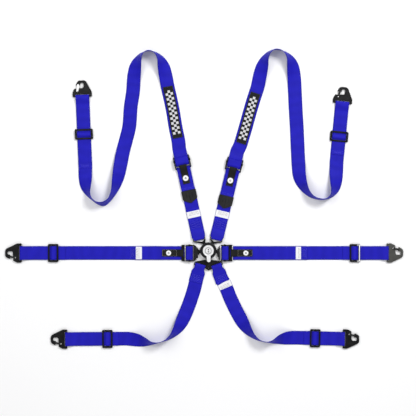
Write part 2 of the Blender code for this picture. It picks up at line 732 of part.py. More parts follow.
def make_knob(lever, parts, looks):
    """Round knob with its lever, as one outline with a bore for the spring."""
    half = LEVER_WIDTH / 2.0
    opening = math.asin(half / KNOB_RADIUS)
    start = LEVER_ANGLE + opening
    sweep = 2.0 * (math.pi - opening)
    rim = [
        (KNOB_RADIUS * math.cos(start + sweep * step / ROUND_STEPS),
         KNOB_RADIUS * math.sin(start + sweep * step / ROUND_STEPS))
        for step in range(ROUND_STEPS + 1)
    ]
    reach = LEVER_REACH - half
    tip = [
        lever.flat(reach + half * math.cos(math.radians(angle)), half * math.sin(math.radians(angle)))
        for angle in range(-90, 91, 30)
    ]
    bore = circle((0.0, 0.0), KNOB_BORE_RADIUS, 20)
    plate("buckle_knob", [rim + tip, bore], KNOB_BOTTOM, KNOB_THICKNESS, parts, looks["steel"])
    turned("buckle_knob_cap", [
        (0.0, KNOB_TOP + GAP + KNOB_CAP_THICKNESS),
        (KNOB_CAP_RADIUS, KNOB_TOP + GAP + KNOB_CAP_THICKNESS),
        (KNOB_CAP_RADIUS, KNOB_TOP + GAP),
        (0.0, KNOB_TOP + GAP),
    ], False, parts, looks["plastic_black"])


def make_spring(parts, looks):
    """Return spring of the knob, coiled round the spindle inside the knob's bore."""
    steps_per_turn = 10
    count = SPRING_TURNS * steps_per_turn
    bottom = KNOB_BOTTOM + GAP + SPRING_WIRE_RADIUS
    top = KNOB_TOP - GAP - SPRING_WIRE_RADIUS
    curve = bpy.data.curves.new("buckle_spring", "CURVE")
    curve.dimensions = "3D"
    curve.bevel_depth = SPRING_WIRE_RADIUS
    curve.bevel_resolution = 1
    curve.use_fill_caps = True
    spline = curve.splines.new("POLY")
    spline.points.add(count)
    for index, point in enumerate(spline.points):
        angle = 2.0 * math.pi * index / steps_per_turn
        height = bottom + (top - bottom) * index / count
        point.co = (SPRING_RADIUS * math.cos(angle), SPRING_RADIUS * math.sin(angle), height, 1.0)
    curve.materials.append(looks["steel"])
    parts.objects.link(bpy.data.objects.new("buckle_spring", curve))


# Tongues and adjusters

def window(line, near, far, half_width):
    """Slot across a plate, with small round corners."""
    return rounded([
        (*line.flat(near, -half_width), SLOT_CORNER),
        (*line.flat(far, -half_width), SLOT_CORNER),
        (*line.flat(far, half_width), SLOT_CORNER),
        (*line.flat(near, half_width), SLOT_CORNER),
    ], 2)


def latch_hole(line):
    return circle(line.flat(LATCH_HOLE_AT), LATCH_HOLE_RADIUS)


def neck(line, end_radius=NECK_END_RADIUS):
    """Tip and neck of a tongue: its four corners, from one side round to the other."""
    half = TONGUE_WIDTH / 2.0
    return [
        (*line.flat(end_radius, half), NECK_CORNER),
        (*line.flat(TONGUE_TIP_RADIUS, half), TIP_CORNER),
        (*line.flat(TONGUE_TIP_RADIUS, -half), TIP_CORNER),
        (*line.flat(end_radius, -half), NECK_CORNER),
    ]


def make_shoulder_tongue(side, parts, looks):
    tongue = shoulder_tongue_line(side)
    bar = shoulder_line(side)
    half = FOLD_SLOT_HALF_WIDTH + FOLD_ARM_WIDTH
    front = BAR_DEPTH / 2.0
    slot = -front - BAR_SLOT_DEPTH
    outer = neck(tongue) + [
        (*bar.flat(slot - FOLD_ARM_WIDTH, -half), PLATE_CORNER),
        (*bar.flat(front, -half), BAR_CORNER),
        (*bar.flat(front, half), BAR_CORNER),
        (*bar.flat(slot - FOLD_ARM_WIDTH, half), PLATE_CORNER),
    ]
    point = bar.at(slot - SLOT_CORNER).lerp(tongue.at(NECK_END_RADIUS + FOLD_ARM_WIDTH), 0.75)
    hole = [
        (*bar.flat(-front, -FOLD_SLOT_HALF_WIDTH), SLOT_CORNER),
        (*bar.flat(-front, FOLD_SLOT_HALF_WIDTH), SLOT_CORNER),
        (*bar.flat(slot, FOLD_SLOT_HALF_WIDTH), TIP_CORNER),
        (point.x, point.y, TIP_CORNER),
        (*bar.flat(slot, -FOLD_SLOT_HALF_WIDTH), TIP_CORNER),
    ]
    plate(
        f"shoulder_{side}_tongue", [rounded(outer), rounded(hole, 2), latch_hole(tongue)],
        TONGUE_BOTTOM, TONGUE_THICKNESS, parts, looks["steel_black"],
    )


def make_crotch_bracket(parts, looks):
    tongue = crotch_tongue_line()
    left = crotch_line("left")
    right = crotch_line("right")
    half = FOLD_SLOT_HALF_WIDTH + FOLD_ARM_WIDTH
    front = BAR_DEPTH / 2.0
    slot = -front - BAR_SLOT_DEPTH
    outer = neck(tongue, BRACKET_NECK_END) + [
        (*left.flat(slot - FOLD_ARM_WIDTH, -half), PLATE_CORNER),
        (*left.flat(front, -half), BAR_CORNER),
        (*left.flat(front, FOLD_SLOT_HALF_WIDTH), PLATE_CORNER),
        (*BRACKET_FOOT, PLATE_CORNER),
        (*right.flat(front, -FOLD_SLOT_HALF_WIDTH), PLATE_CORNER),
        (*right.flat(front, half), BAR_CORNER),
        (*right.flat(slot - FOLD_ARM_WIDTH, half), PLATE_CORNER),
    ]
    slots = []
    for line in (left, right):
        slots.append(window(line, slot, -front, FOLD_SLOT_HALF_WIDTH))
    outlines = [rounded(outer), *slots, latch_hole(tongue), circle(BRACKET_HOLE, BRACKET_HOLE_RADIUS)]
    plate("crotch_bracket", outlines, TONGUE_BOTTOM, TONGUE_THICKNESS, parts, looks["steel_black"])


def add_ears(frame, line, bottom, u_range, height, tools):
    """Upright ears at both sides of an adjuster, slotted for the lock bar."""
    inner = SLOT_HALF_WIDTH + GAP
    outer = SLOT_HALF_WIDTH + ARM_WIDTH - GAP
    for name, v_range in (("a", (inner, outer)), ("b", (-outer, -inner))):
        levels = (bottom + ADJUSTER_THICKNESS - EAR_SINK, bottom + height)
        ear = box(f"{frame.name}_ear_{name}", line, u_range, v_range, levels, tools)
        boolean(frame, cutter(ear), "UNION")
    centre = bottom + LOCK_BAR_LIFT
    half_slot = LOCK_BAR_HEIGHT / 2.0 + GAP
    slot = box(
        f"{frame.name}_lock_slot", line,
        (-LOCK_BAR_DEPTH / 2.0 - GAP, LOCK_BAR_DEPTH / 2.0 + LOCK_BAR_TRAVEL + GAP),
        (-2.0 * outer, 2.0 * outer), (centre - half_slot, centre + half_slot), tools,
    )
    return slot


def make_lock_bar(name, line, bottom, parts, looks):
    centre = bottom + LOCK_BAR_LIFT
    half = LOCK_BAR_DEPTH / 2.0
    bar = box(
        name, line, (-half, half), (-LOCK_BAR_HALF_LENGTH, LOCK_BAR_HALF_LENGTH),
        (centre - LOCK_BAR_HEIGHT / 2.0, centre + LOCK_BAR_HEIGHT / 2.0), parts, looks["steel"],
    )
    set_origin(bar, line.at(0.0, 0.0, centre))


def make_lap_adjuster(side, parts, tools, looks):
    tongue = lap_tongue_line(side)
    line = lap_line(side)
    bottom = LAP_ADJUSTER_BOTTOM
    half = SLOT_HALF_WIDTH + ARM_WIDTH
    release_inner = WINDOW_OUTER + ADJUSTER_BAR_DEPTH
    release_outer = release_inner + RELEASE_SLOT_DEPTH
    end = release_outer + RELEASE_BAR_DEPTH
    outer = neck(tongue) + [
        (*line.flat(LAP_FRAME_INNER, -half), ADJUSTER_CORNER),
        (*line.flat(end, -half), PLATE_CORNER),
        (*line.flat(end, half), PLATE_CORNER),
        (*line.flat(LAP_FRAME_INNER, half), ADJUSTER_CORNER),
    ]
    holes = [
        window(line, LAP_WINDOW_INNER, WINDOW_OUTER, SLOT_HALF_WIDTH),
        window(line, release_inner, release_outer, RELEASE_TAB_WIDTH / 2.0 + TAB_SIDE_GAP),
        latch_hole(tongue),
    ]
    frame = plate(
        f"lap_{side}_adjuster", [rounded(outer), *holes],
        bottom, ADJUSTER_THICKNESS, parts, looks["steel_black"],
    )
    slot = add_ears(frame, line, bottom, EAR_ENDS, EAR_HEIGHT, tools)
    boolean(frame, cutter(slot), "DIFFERENCE")
    make_lock_bar(f"lap_{side}_lock_bar", line, bottom, parts, looks)

    tail = LAYER_2 + WEBBING_THICKNESS / 2.0 + GAP + RELEASE_TAB_THICKNESS / 2.0
    over = bottom + ADJUSTER_THICKNESS + 2.0 * GAP + RELEASE_TAB_THICKNESS / 2.0
    upright = release_outer - 2.0 * GAP - RELEASE_TAB_THICKNESS / 2.0
    profile = [(upright, bottom + RELEASE_TAB_THICKNESS / 2.0)]
    profile += [(upright, over - TAB_BEND), (upright + TAB_BEND, over)]
    profile += slope((end + TAB_BEND, over), (end + TAB_BEND + LAP_TAB_RAMP, tail))
    profile.append((end + LAP_TAB_LENGTH, tail))
    ribbon(
        f"lap_{side}_release_tab", line.sections(spread(profile)), RELEASE_TAB_WIDTH,
        RELEASE_TAB_THICKNESS, parts, looks["webbing_black"],
    )


def make_shoulder_adjuster(side, parts, tools, looks):
    line = shoulder_lock_line(side)
    bottom = SHOULDER_ADJUSTER_BOTTOM
    half = SLOT_HALF_WIDTH + ARM_WIDTH
    far = WINDOW_OUTER + ADJUSTER_BAR_DEPTH
    near = LOWER_BAR_OUTER - LOWER_BAR_DEPTH
    outer = rounded([
        (*line.flat(near, -half), PLATE_CORNER),
        (*line.flat(far, -half), PLATE_CORNER),
        (*line.flat(far, half), PLATE_CORNER),
        (*line.flat(near, half), PLATE_CORNER),
    ])
    hole = window(line, LOWER_BAR_OUTER, WINDOW_OUTER, SLOT_HALF_WIDTH)
    frame = plate(
        f"shoulder_{side}_adjuster", [outer, hole], bottom, ADJUSTER_THICKNESS, parts, looks["steel_black"],
    )
    pull_bottom = bottom + PULL_BAR_LIFT
    height = PULL_BAR_LIFT + ADJUSTER_THICKNESS
    ends = (PULL_BAR_AT - PULL_BAR_DEPTH / 2.0 - SLOT_CORNER, EAR_ENDS[1])
    slot = add_ears(frame, line, bottom, ends, height, tools)
    reach = SLOT_HALF_WIDTH + ARM_WIDTH / 2.0
    pull_bar = box(
        f"{frame.name}_pull_bar", line,
        (PULL_BAR_AT - PULL_BAR_DEPTH / 2.0, PULL_BAR_AT + PULL_BAR_DEPTH / 2.0),
        (-reach, reach), (pull_bottom, pull_bottom + PULL_BAR_THICKNESS), tools,
    )
    boolean(frame, cutter(pull_bar), "UNION")
    boolean(frame, cutter(slot), "DIFFERENCE")
    make_lock_bar(f"shoulder_{side}_lock_bar", line, bottom, parts, looks)

    over = pull_bottom + PULL_BAR_THICKNESS + PULL_BAR_TAB_GAP + RELEASE_TAB_THICKNESS / 2.0
    tail = LAYER_3 + WEBBING_THICKNESS / 2.0 + GAP + RELEASE_TAB_THICKNESS / 2.0
    front = PULL_BAR_AT + PULL_BAR_DEPTH / 2.0 + GAP + RELEASE_TAB_THICKNESS
    bend = 1.5 * TAB_BEND
    back = PULL_BAR_AT - PULL_BAR_DEPTH / 2.0 - PULL_BAR_TAB_GAP
    profile = [(front, pull_bottom), (front, over - bend), (front - bend, over)]
    profile += slope((back, over), (back - SHOULDER_TAB_RAMP, tail), 6)
    profile.append((PULL_BAR_AT - SHOULDER_TAB_LENGTH, tail))
    ribbon(
        f"shoulder_{side}_release_tab", line.sections(spread(profile)), RELEASE_TAB_WIDTH,
        RELEASE_TAB_THICKNESS, parts, looks["webbing_black"],
    )


# Straps

def lap_strap_sections(side):
    line = lap_line(side)
    tail_end = abs(LAP_TAIL_ENDS[side] - LAP_ADJUSTERS[side])
    bar = lap_hook_bar(side)
    wrap, crest = wrap_over_lock_bar(LAP_ADJUSTER_BOTTOM, LAYER_2)
    radius = (crest - LAYER_1) / 2.0
    turn = arc((-WRAP_REACH + radius, LAYER_1 + radius), radius, 90.0, 270.0, 8)
    profile = [(tail_end, LAYER_2)] + wrap + turn
    profile += hook_turn(bar, slider_back("lap", side) + LAP_RETURN)
    return line.sections(spread(profile))


def shoulder_lower_sections(side):
    line = shoulder_line(side)
    lock = (Vector(SHOULDER_ADJUSTERS[side]) - Vector(SHOULDER_BARS[side])).length
    bar = lock + LOWER_BAR_OUTER
    start = bar - LOWER_BAR_DEPTH - TAB_BEND
    top = LAYER_1 + 2.0 * LOWER_LOOP_RADIUS
    profile = bar_turn(SHOULDER_SEAM)
    profile += arc((bar + LOOP_SLACK, LAYER_1 + LOWER_LOOP_RADIUS), LOWER_LOOP_RADIUS, -90.0, 90.0, 8)
    profile += slope((start, top), (start - LOWER_RAMP, LAYER_2))
    profile.append((SHOULDER_SEAM + SEAM_GAP, LAYER_2))
    return line.sections(spread(profile), folded=True)


def shoulder_upper_sections(side):
    line = shoulder_lock_line(side)
    wrap, crest = wrap_over_lock_bar(SHOULDER_ADJUSTER_BOTTOM, LAYER_1)
    over_loop = LAYER_1 + 2.0 * LOWER_LOOP_RADIUS + ROW_PITCH
    near = LOWER_BAR_OUTER - LOWER_BAR_DEPTH
    profile = [(-SHOULDER_TAILS[side], LAYER_3)]
    profile += slope((near - TAB_BEND - LOWER_RAMP, LAYER_3), (near - TAB_BEND, over_loop))
    profile += slope((CREST_RAMP[0], over_loop), (CREST_RAMP[1], crest))
    profile += list(reversed(wrap))
    profile.append((STRAIGHT_END, LAYER_1))
    sections = line.sections(spread(profile))
    start = line.flat(ROUTE_START)
    knots = [(*start, 0), *SHOULDER_ROUTES[side], (*SHOULDER_HOOK_STRAIGHTS[side], 0)]
    sections += smooth_route(knots, ROUTE_STEP)
    end = hook_line("shoulder", side)
    sections += end.sections(spread(hook_turn(0.0, SHOULDER_RETURN[side])))
    return sections


def crotch_strap_sections(side):
    line = crotch_line(side)
    fold = bar_turn(CROTCH_SEWN_END) + [(distance, LAYER_1) for distance in FOLD_TAPER]
    sections = line.sections(spread(fold), folded=True)
    sections += line.sections([(STRAIGHT_END, LAYER_1)])
    start = line.flat(ROUTE_START)
    knots = [(*start, 0), *CROTCH_ROUTES[side], (*CROTCH_HOOK_STRAIGHTS[side], 0)]
    sections += smooth_route(knots, ROUTE_STEP)
    end = hook_line("crotch", side)
    sections += end.sections(spread(hook_turn(0.0, CROTCH_RETURN[side])))
    return sections


def make_straps(side, parts, looks):
    blue = looks["webbing_blue"]
    width, thickness = WEBBING_WIDTH, WEBBING_THICKNESS
    ribbon(f"lap_{side}_strap", lap_strap_sections(side), width, thickness, parts, blue)
    ribbon(f"crotch_{side}_strap", crotch_strap_sections(side), width, thickness, parts, blue)
    ribbon(f"shoulder_{side}_lower_strap", shoulder_lower_sections(side), width, thickness, parts, blue)
    upper = shoulder_upper_sections(side)
    ribbon(f"shoulder_{side}_upper_strap", upper, width, thickness, parts, blue)
    make_patch(side, parts, looks)
    make_pull_tab(side, parts, looks)


def make_patch(side, parts, looks):
    """Sewn patch, on the face of the shoulder strap above the adjuster."""
    line = shoulder_lock_line(side)
    knots = [(*line.flat(ROUTE_START), 0), *SHOULDER_ROUTES[side]]
    lift = WEBBING_THICKNESS / 2.0 + GAP + PATCH_THICKNESS / 2.0
    start = PATCH_START[side] - ROUTE_START
    sections = lifted_portion(smooth_route(knots, ROUTE_STEP), start, PATCH_LENGTH, lift)
    ribbon(f"shoulder_{side}_patch", sections, PATCH_WIDTH, PATCH_THICKNESS, parts, looks["webbing_black"])


def make_pull_tab(side, parts, looks):
    line = shoulder_lock_line(side)
    half = PULL_TAB_WIDTH / 2.0
    near = -SHOULDER_TAILS[side] - GAP
    far = near - PULL_TAB_LENGTH
    outline = rounded([
        (*line.flat(near, -half), NECK_CORNER),
        (*line.flat(near, half), NECK_CORNER),
        (*line.flat(far + PULL_TAB_TAPER, half), PULL_TAB_CORNER),
        (*line.flat(far, 0.0), PULL_TAB_POINT),
        (*line.flat(far + PULL_TAB_TAPER, -half), PULL_TAB_CORNER),
    ])
    bottom = LAYER_2 + WEBBING_THICKNESS / 2.0 + GAP
    plate(f"shoulder_{side}_pull_tab", [outline], bottom, PULL_TAB_THICKNESS, parts, looks["plastic_black"])


# Sliders and snap hooks

def make_slider(group, side, parts, looks):
    line = slider_line(group, side)
    half = SLIDER_LENGTH / 2.0
    outer = rounded([
        (*line.flat(-half, -SLIDER_HALF_WIDTH), PLATE_CORNER),
        (*line.flat(half, -SLIDER_HALF_WIDTH), PLATE_CORNER),
        (*line.flat(half, SLIDER_HALF_WIDTH), PLATE_CORNER),
        (*line.flat(-half, SLIDER_HALF_WIDTH), PLATE_CORNER),
    ])
    near = SLIDER_CENTRE_BAR / 2.0
    far = half - SLIDER_END_BAR
    slots = [window(line, near, far, SLOT_HALF_WIDTH), window(line, -far, -near, SLOT_HALF_WIDTH)]
    slider = plate(
        f"{group}_{side}_slider", [outer, *slots],
        SLIDER_BOTTOM, SLIDER_THICKNESS, parts, looks["steel_black"],
    )
    top = SLIDER_BOTTOM + SLIDER_THICKNESS + GAP + WEBBING_THICKNESS / 2.0
    low = SLIDER_BOTTOM + HUMP_BEND
    crest = near + 2.0 * HUMP_BEND
    foot = near + HUMP_REACH
    profile = [(-foot, low), (-crest, top - HUMP_BEND), (-near, top)]
    profile += [(near, top), (crest, top - HUMP_BEND), (foot, low)]
    hump = ribbon(
        f"{group}_{side}_slider_webbing", line.sections(profile), WEBBING_WIDTH, WEBBING_THICKNESS,
        parts, looks["webbing_blue"],
    )
    for made in (slider, hump):
        set_origin(made, line.at(0.0))


def hook_flank(u):
    """Half-width of a hook's tapering part."""
    rear = -HOOK_BAR_DEPTH / 2.0
    share = (u - rear - HOOK_SHOULDER) / (HOOK_LENGTH - HOOK_SHOULDER)
    return HOOK_HALF_WIDTH + (HOOK_TIP_HALF_WIDTH - HOOK_HALF_WIDTH) * share


def make_hook(group, side, parts, tools, looks):
    line = hook_line(group, side)
    rear = -HOOK_BAR_DEPTH / 2.0
    tip = rear + HOOK_LENGTH
    shoulder = rear + HOOK_SHOULDER
    eye_far = tip - EYE_TIP_WALL
    eye_near = eye_far - EYE_LENGTH
    eye_half = EYE_WIDTH / 2.0
    throat_far = eye_near + THROAT_WIDTH
    throat_out = throat_far + THROAT_FLARE
    throat_in = eye_near - THROAT_FLARE
    outer = rounded([
        (*line.flat(rear, -HOOK_HALF_WIDTH), BAR_CORNER),
        (*line.flat(shoulder, -HOOK_HALF_WIDTH), ADJUSTER_CORNER),
        (*line.flat(tip, -HOOK_TIP_HALF_WIDTH), HOOK_TIP_CORNER),
        (*line.flat(tip, HOOK_TIP_HALF_WIDTH), HOOK_TIP_CORNER),
        (*line.flat(throat_out, hook_flank(throat_out)), NECK_CORNER),
        (*line.flat(throat_far, eye_half), TIP_CORNER),
        (*line.flat(eye_far, eye_half), EYE_CORNER),
        (*line.flat(eye_far, -eye_half), EYE_CORNER),
        (*line.flat(eye_near, -eye_half), EYE_CORNER),
        (*line.flat(throat_in, hook_flank(throat_in)), NECK_CORNER),
        (*line.flat(shoulder, HOOK_HALF_WIDTH), ADJUSTER_CORNER),
        (*line.flat(rear, HOOK_HALF_WIDTH), BAR_CORNER),
    ])
    front = HOOK_BAR_DEPTH / 2.0
    slot = window(line, front, front + HOOK_SLOT_DEPTH, SLOT_HALF_WIDTH)
    pin_hole = circle(line.flat(*GATE_PIVOT), GATE_PIN_RADIUS + GAP)
    hook = plate(
        f"{group}_{side}_hook", [outer, slot, pin_hole],
        HOOK_BOTTOM, HOOK_THICKNESS, parts, looks["steel_black"],
    )
    set_origin(hook, line.at(0.0, 0.0, HOOK_BAR_LEVEL))

    pivot = line.flat(*GATE_PIVOT)
    end = line.flat(*GATE_TIP)
    arm = line_between(pivot, end)
    length = (Vector(end) - Vector(pivot)).length
    half = GATE_WIDTH / 2.0
    leaf = rounded([
        (*arm.flat(-half, -half), half * 0.95),
        (*arm.flat(length, -half), TIP_CORNER),
        (*arm.flat(length, half), TIP_CORNER),
        (*arm.flat(-half, half), half * 0.95),
    ])
    gate_bottom = HOOK_BOTTOM + HOOK_THICKNESS + GAP
    gate = plate(f"{group}_{side}_gate", [leaf], gate_bottom, GATE_THICKNESS, parts, looks["steel"])
    pin = cylinder(
        f"{group}_{side}_gate_pin", pivot, GATE_PIN_RADIUS,
        (HOOK_BOTTOM, gate_bottom + GATE_THICKNESS / 2.0), 8, tools,
    )
    boolean(gate, cutter(pin), "UNION")
    set_origin(gate, line.at(*GATE_PIVOT))


def make_looks():
    return {
        "webbing_blue": finish_material("webbing_blue", (0.028, 0.024, 0.560), 0.70, 0.0),
        "webbing_black": finish_material("webbing_black", (0.015, 0.015, 0.017), 0.75, 0.0),
        "plastic_black": finish_material("plastic_black", (0.012, 0.012, 0.013), 0.35, 0.0),
        "steel_black": finish_material("steel_black", (0.018, 0.018, 0.020), 0.40, 0.6),
        "steel": finish_material("steel", (0.62, 0.62, 0.63), 0.22, 1.0),
    }


def main():
    clear_scene()
    parts = collection("racing_harness")
    tools = collection("racing_harness_cutters")
    looks = make_looks()
    make_buckle(parts, tools, looks)
    make_crotch_bracket(parts, looks)
    for side in SIDES:
        make_shoulder_tongue(side, parts, looks)
        make_lap_adjuster(side, parts, tools, looks)
        make_shoulder_adjuster(side, parts, tools, looks)
        make_straps(side, parts, looks)
        for group in ("lap", "shoulder", "crotch"):
            make_slider(group, side, parts, looks)
            make_hook(group, side, parts, tools, looks)


main()
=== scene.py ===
"""Looks of the racing harness: woven straps, coated and polished hardware, labels and stitching."""

import logging
import math
from collections.abc import Sequence
from dataclasses import dataclass, field
from enum import Enum

import bmesh
import bpy
from mathutils import Matrix, Vector


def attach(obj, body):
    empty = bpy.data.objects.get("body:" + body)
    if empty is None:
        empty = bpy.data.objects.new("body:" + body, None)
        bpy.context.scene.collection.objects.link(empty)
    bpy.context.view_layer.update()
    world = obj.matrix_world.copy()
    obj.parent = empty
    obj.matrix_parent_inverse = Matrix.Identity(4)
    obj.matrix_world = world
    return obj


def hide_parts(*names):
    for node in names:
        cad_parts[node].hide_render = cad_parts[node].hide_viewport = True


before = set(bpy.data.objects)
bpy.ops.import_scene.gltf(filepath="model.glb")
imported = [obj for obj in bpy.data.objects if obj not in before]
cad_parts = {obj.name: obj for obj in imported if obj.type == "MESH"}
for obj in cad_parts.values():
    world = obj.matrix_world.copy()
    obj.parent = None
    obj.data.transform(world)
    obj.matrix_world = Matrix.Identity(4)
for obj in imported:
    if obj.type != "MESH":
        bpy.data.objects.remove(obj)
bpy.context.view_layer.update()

LOG = logging.getLogger("racing_harness")
UP = Vector((0.0, 0.0, 1.0))
GAP = 0.0003
WEBBING_WIDTH = 0.050
WEBBING_THICKNESS = 0.0020
ROW_PITCH = WEBBING_THICKNESS + GAP
LAYER_1 = WEBBING_THICKNESS / 2.0
LAYER_2 = LAYER_1 + ROW_PITCH
LAYER_3 = LAYER_2 + ROW_PITCH
FACE_LIFT = WEBBING_THICKNESS / 2.0
ROUTE_STEP = 0.005
PLATE_THICKNESS = 0.003
MERGE_DISTANCE = 0.000002
WEAVE_MAP = "weave"
# Height of the thin bright strips on hardware edges; on the pull bar they are also a painted edge highlight.
BRIGHT_STRIP_HEIGHT = 0.0006
LAP_LABEL_WIDTH = 0.046
LOOSE_LABEL_WIDTH = 0.0485

Section = tuple[Vector, Vector]
Profile = list[tuple[float, float]]


class Side(Enum):
    """Which side of the harness, seen from above with the shoulder straps up."""

    LEFT = "left"
    RIGHT = "right"


class Belt(Enum):
    """Which strap a slider or a snap hook is on."""

    LAP = "lap"
    SHOULDER = "shoulder"
    CROTCH = "crotch"


# Runs and routes of the webbing

@dataclass(frozen=True)
class Run:
    """A straight run on the ground: u goes along the heading, v to its left, z up."""

    x: float
    y: float
    angle: float

    @property
    def along(self) -> Vector:
        """Unit vector of the heading."""
        return Vector((math.cos(self.angle), math.sin(self.angle), 0.0))

    @property
    def across(self) -> Vector:
        """Unit vector to the left of the heading."""
        return Vector((-math.sin(self.angle), math.cos(self.angle), 0.0))

    def at(self, u: float, v: float = 0.0, z: float = 0.0) -> Vector:
        """Point of the run in the harness's frame."""
        return Vector((self.x, self.y, 0.0)) + self.along * u + self.across * v + UP * z

    def moved(self, u: float) -> "Run":
        """The same run with its origin moved along it."""
        point = self.at(u)
        return Run(point.x, point.y, self.angle)

    def sections(self, profile: Profile, fold: "Fold | None" = None) -> list[Section]:
        """Strap sections along the run.

        Args:
            profile: (u, z) points of the strap's centre.
            fold: how the webbing narrows near u = 0, if it does.

        Returns:
            One centre and one across vector for each point.
        """
        return [(self.at(u, 0.0, z), self.across * (fold.share(u) if fold else 1.0)) for u, z in profile]


@dataclass(frozen=True)
class Fold:
    """Webbing folded narrower where it goes round a tongue's bar."""

    narrow: float = 0.76
    start: float = 0.010
    end: float = 0.024

    def share(self, u: float) -> float:
        """Share of the full width at a distance from the bar.

        Args:
            u: the distance from the bar.

        Returns:
            The share, from 0 to 1.
        """
        part = min(1.0, max(0.0, (u - self.start) / (self.end - self.start)))
        part = part * part * (3.0 - 2.0 * part)
        return self.narrow + (1.0 - self.narrow) * part


def run_between(start: tuple[float, float], end: tuple[float, float]) -> Run:
    """Run from one point of the ground towards another."""
    return Run(start[0], start[1], math.atan2(end[1] - start[1], end[0] - start[0]))


def arc(centre: tuple[float, float], radius: float, start: float, end: float, steps: int = 16) -> Profile:
    """Arc in the (u, z) plane, angles in degrees from +u towards +z."""
    angles = [math.radians(start + (end - start) * step / steps) for step in range(steps + 1)]
    return [(centre[0] + radius * math.cos(angle), centre[1] + radius * math.sin(angle)) for angle in angles]


def slope(start: tuple[float, float], end: tuple[float, float], steps: int = 10) -> Profile:
    """S-shaped ramp between two levels.

    Args:
        start: where it begins, as (u, z).
        end: where it ends.
        steps: how many spans it has.

    Returns:
        Its points, the first and the last among them.
    """
    points = []
    for step in range(steps + 1):
        part = step / steps
        rise = part * part * (3.0 - 2.0 * part)
        points.append((start[0] + (end[0] - start[0]) * part, start[1] + (end[1] - start[1]) * rise))
    return points


def spread(points: Profile, longest: float = 0.008) -> Profile:
    """The same points with long straights divided.

    Args:
        points: the points, as (u, z).
        longest: the longest straight to leave.

    Returns:
        All the points.
    """
    out = [points[0]]
    for (u0, z0), (u1, z1) in zip(points, points[1:]):
        parts = max(1, math.ceil(math.hypot(u1 - u0, z1 - z0) / longest))
        shares = [step / parts for step in range(1, parts + 1)]
        out += [(u0 + (u1 - u0) * share, z0 + (z1 - z0) * share) for share in shares]
    return out


def tilted_section(place: Vector, heading: Vector) -> Section:
    """One section whose lower edge rests on the ground.

    Args:
        place: its (x, y, tilt in degrees).
        heading: which way the strap goes there.

    Returns:
        The section.
    """
    along = Vector((heading.x, heading.y, 0.0)).normalized()
    left = Vector((-along.y, along.x, 0.0))
    tilt = math.radians(place.z)
    across = left * math.cos(tilt) + UP * math.sin(tilt)
    height = abs(math.sin(tilt)) * WEBBING_WIDTH / 2.0 + math.cos(tilt) * WEBBING_THICKNESS / 2.0
    return Vector((place.x, place.y, height)), across


def smooth_route(points: Sequence[tuple[float, float, float]], step: float = ROUTE_STEP) -> list[Section]:
    """Sections of a strap along a smooth curve.

    Args:
        points: x, y and the webbing's tilt in degrees, positive where its left edge is raised.
        step: longest distance between two sections.

    Returns:
        The sections from the first point to the last.
    """
    knots = [Vector(point) for point in points]
    spans = [(second.xy - first.xy).length for first, second in zip(knots, knots[1:])]
    slopes = [(knots[1] - knots[0]) / spans[0]]
    for index in range(1, len(knots) - 1):
        before = (knots[index] - knots[index - 1]) / spans[index - 1]
        after = (knots[index + 1] - knots[index]) / spans[index]
        both = spans[index - 1] + spans[index]
        slopes.append((before * spans[index] + after * spans[index - 1]) / both)
    slopes.append((knots[-1] - knots[-2]) / spans[-1])
    sections = []
    for index, span in enumerate(spans):
        start, end = knots[index], knots[index + 1]
        out, into = slopes[index] * span, slopes[index + 1] * span
        parts = max(1, math.ceil(span / step))
        stop = parts + (1 if index == len(spans) - 1 else 0)
        for part in range(stop):
            t = part / parts
            place = start * (2 * t**3 - 3 * t**2 + 1) + out * (t**3 - 2 * t**2 + t)
            place += end * (-2 * t**3 + 3 * t**2) + into * (t**3 - t**2)
            heading = start * (6 * t**2 - 6 * t) + out * (3 * t**2 - 4 * t + 1)
            heading += end * (-6 * t**2 + 6 * t) + into * (3 * t**2 - 2 * t)
            sections.append(tilted_section(place, heading))
    return sections


def path_length(sections: Sequence[Section]) -> float:
    """Length of a strap along its centre."""
    return sum((b - a).length for (a, _), (b, _) in zip(sections, sections[1:]))


def portion(sections: Sequence[Section], start: float, length: float, lift: float) -> list[Section]:
    """Sections between two distances along a strap, raised off its face.

    Args:
        sections: the strap's sections.
        start: distance to where they begin.
        length: how far they go on.
        lift: how far they are raised.

    Returns:
        The raised sections, in order.
    """
    found = []
    travelled = 0.0
    for (a, across_a), (b, across_b) in zip(sections, sections[1:]):
        span = (b - a).length
        for distance in (start, start + length):
            if travelled <= distance < travelled + span:
                part = (distance - travelled) / span
                found.append((distance, a.lerp(b, part), across_a.lerp(across_b, part), b - a))
        if start < travelled + span < start + length:
            found.append((travelled + span, b.copy(), across_b.copy(), b - a))
        travelled += span
    found.sort(key=lambda item: item[0])
    lifted = []
    for _, centre, across, run in found:
        lifted.append((centre + run.cross(across).normalized() * lift, across.normalized()))
    return lifted


# Finishes

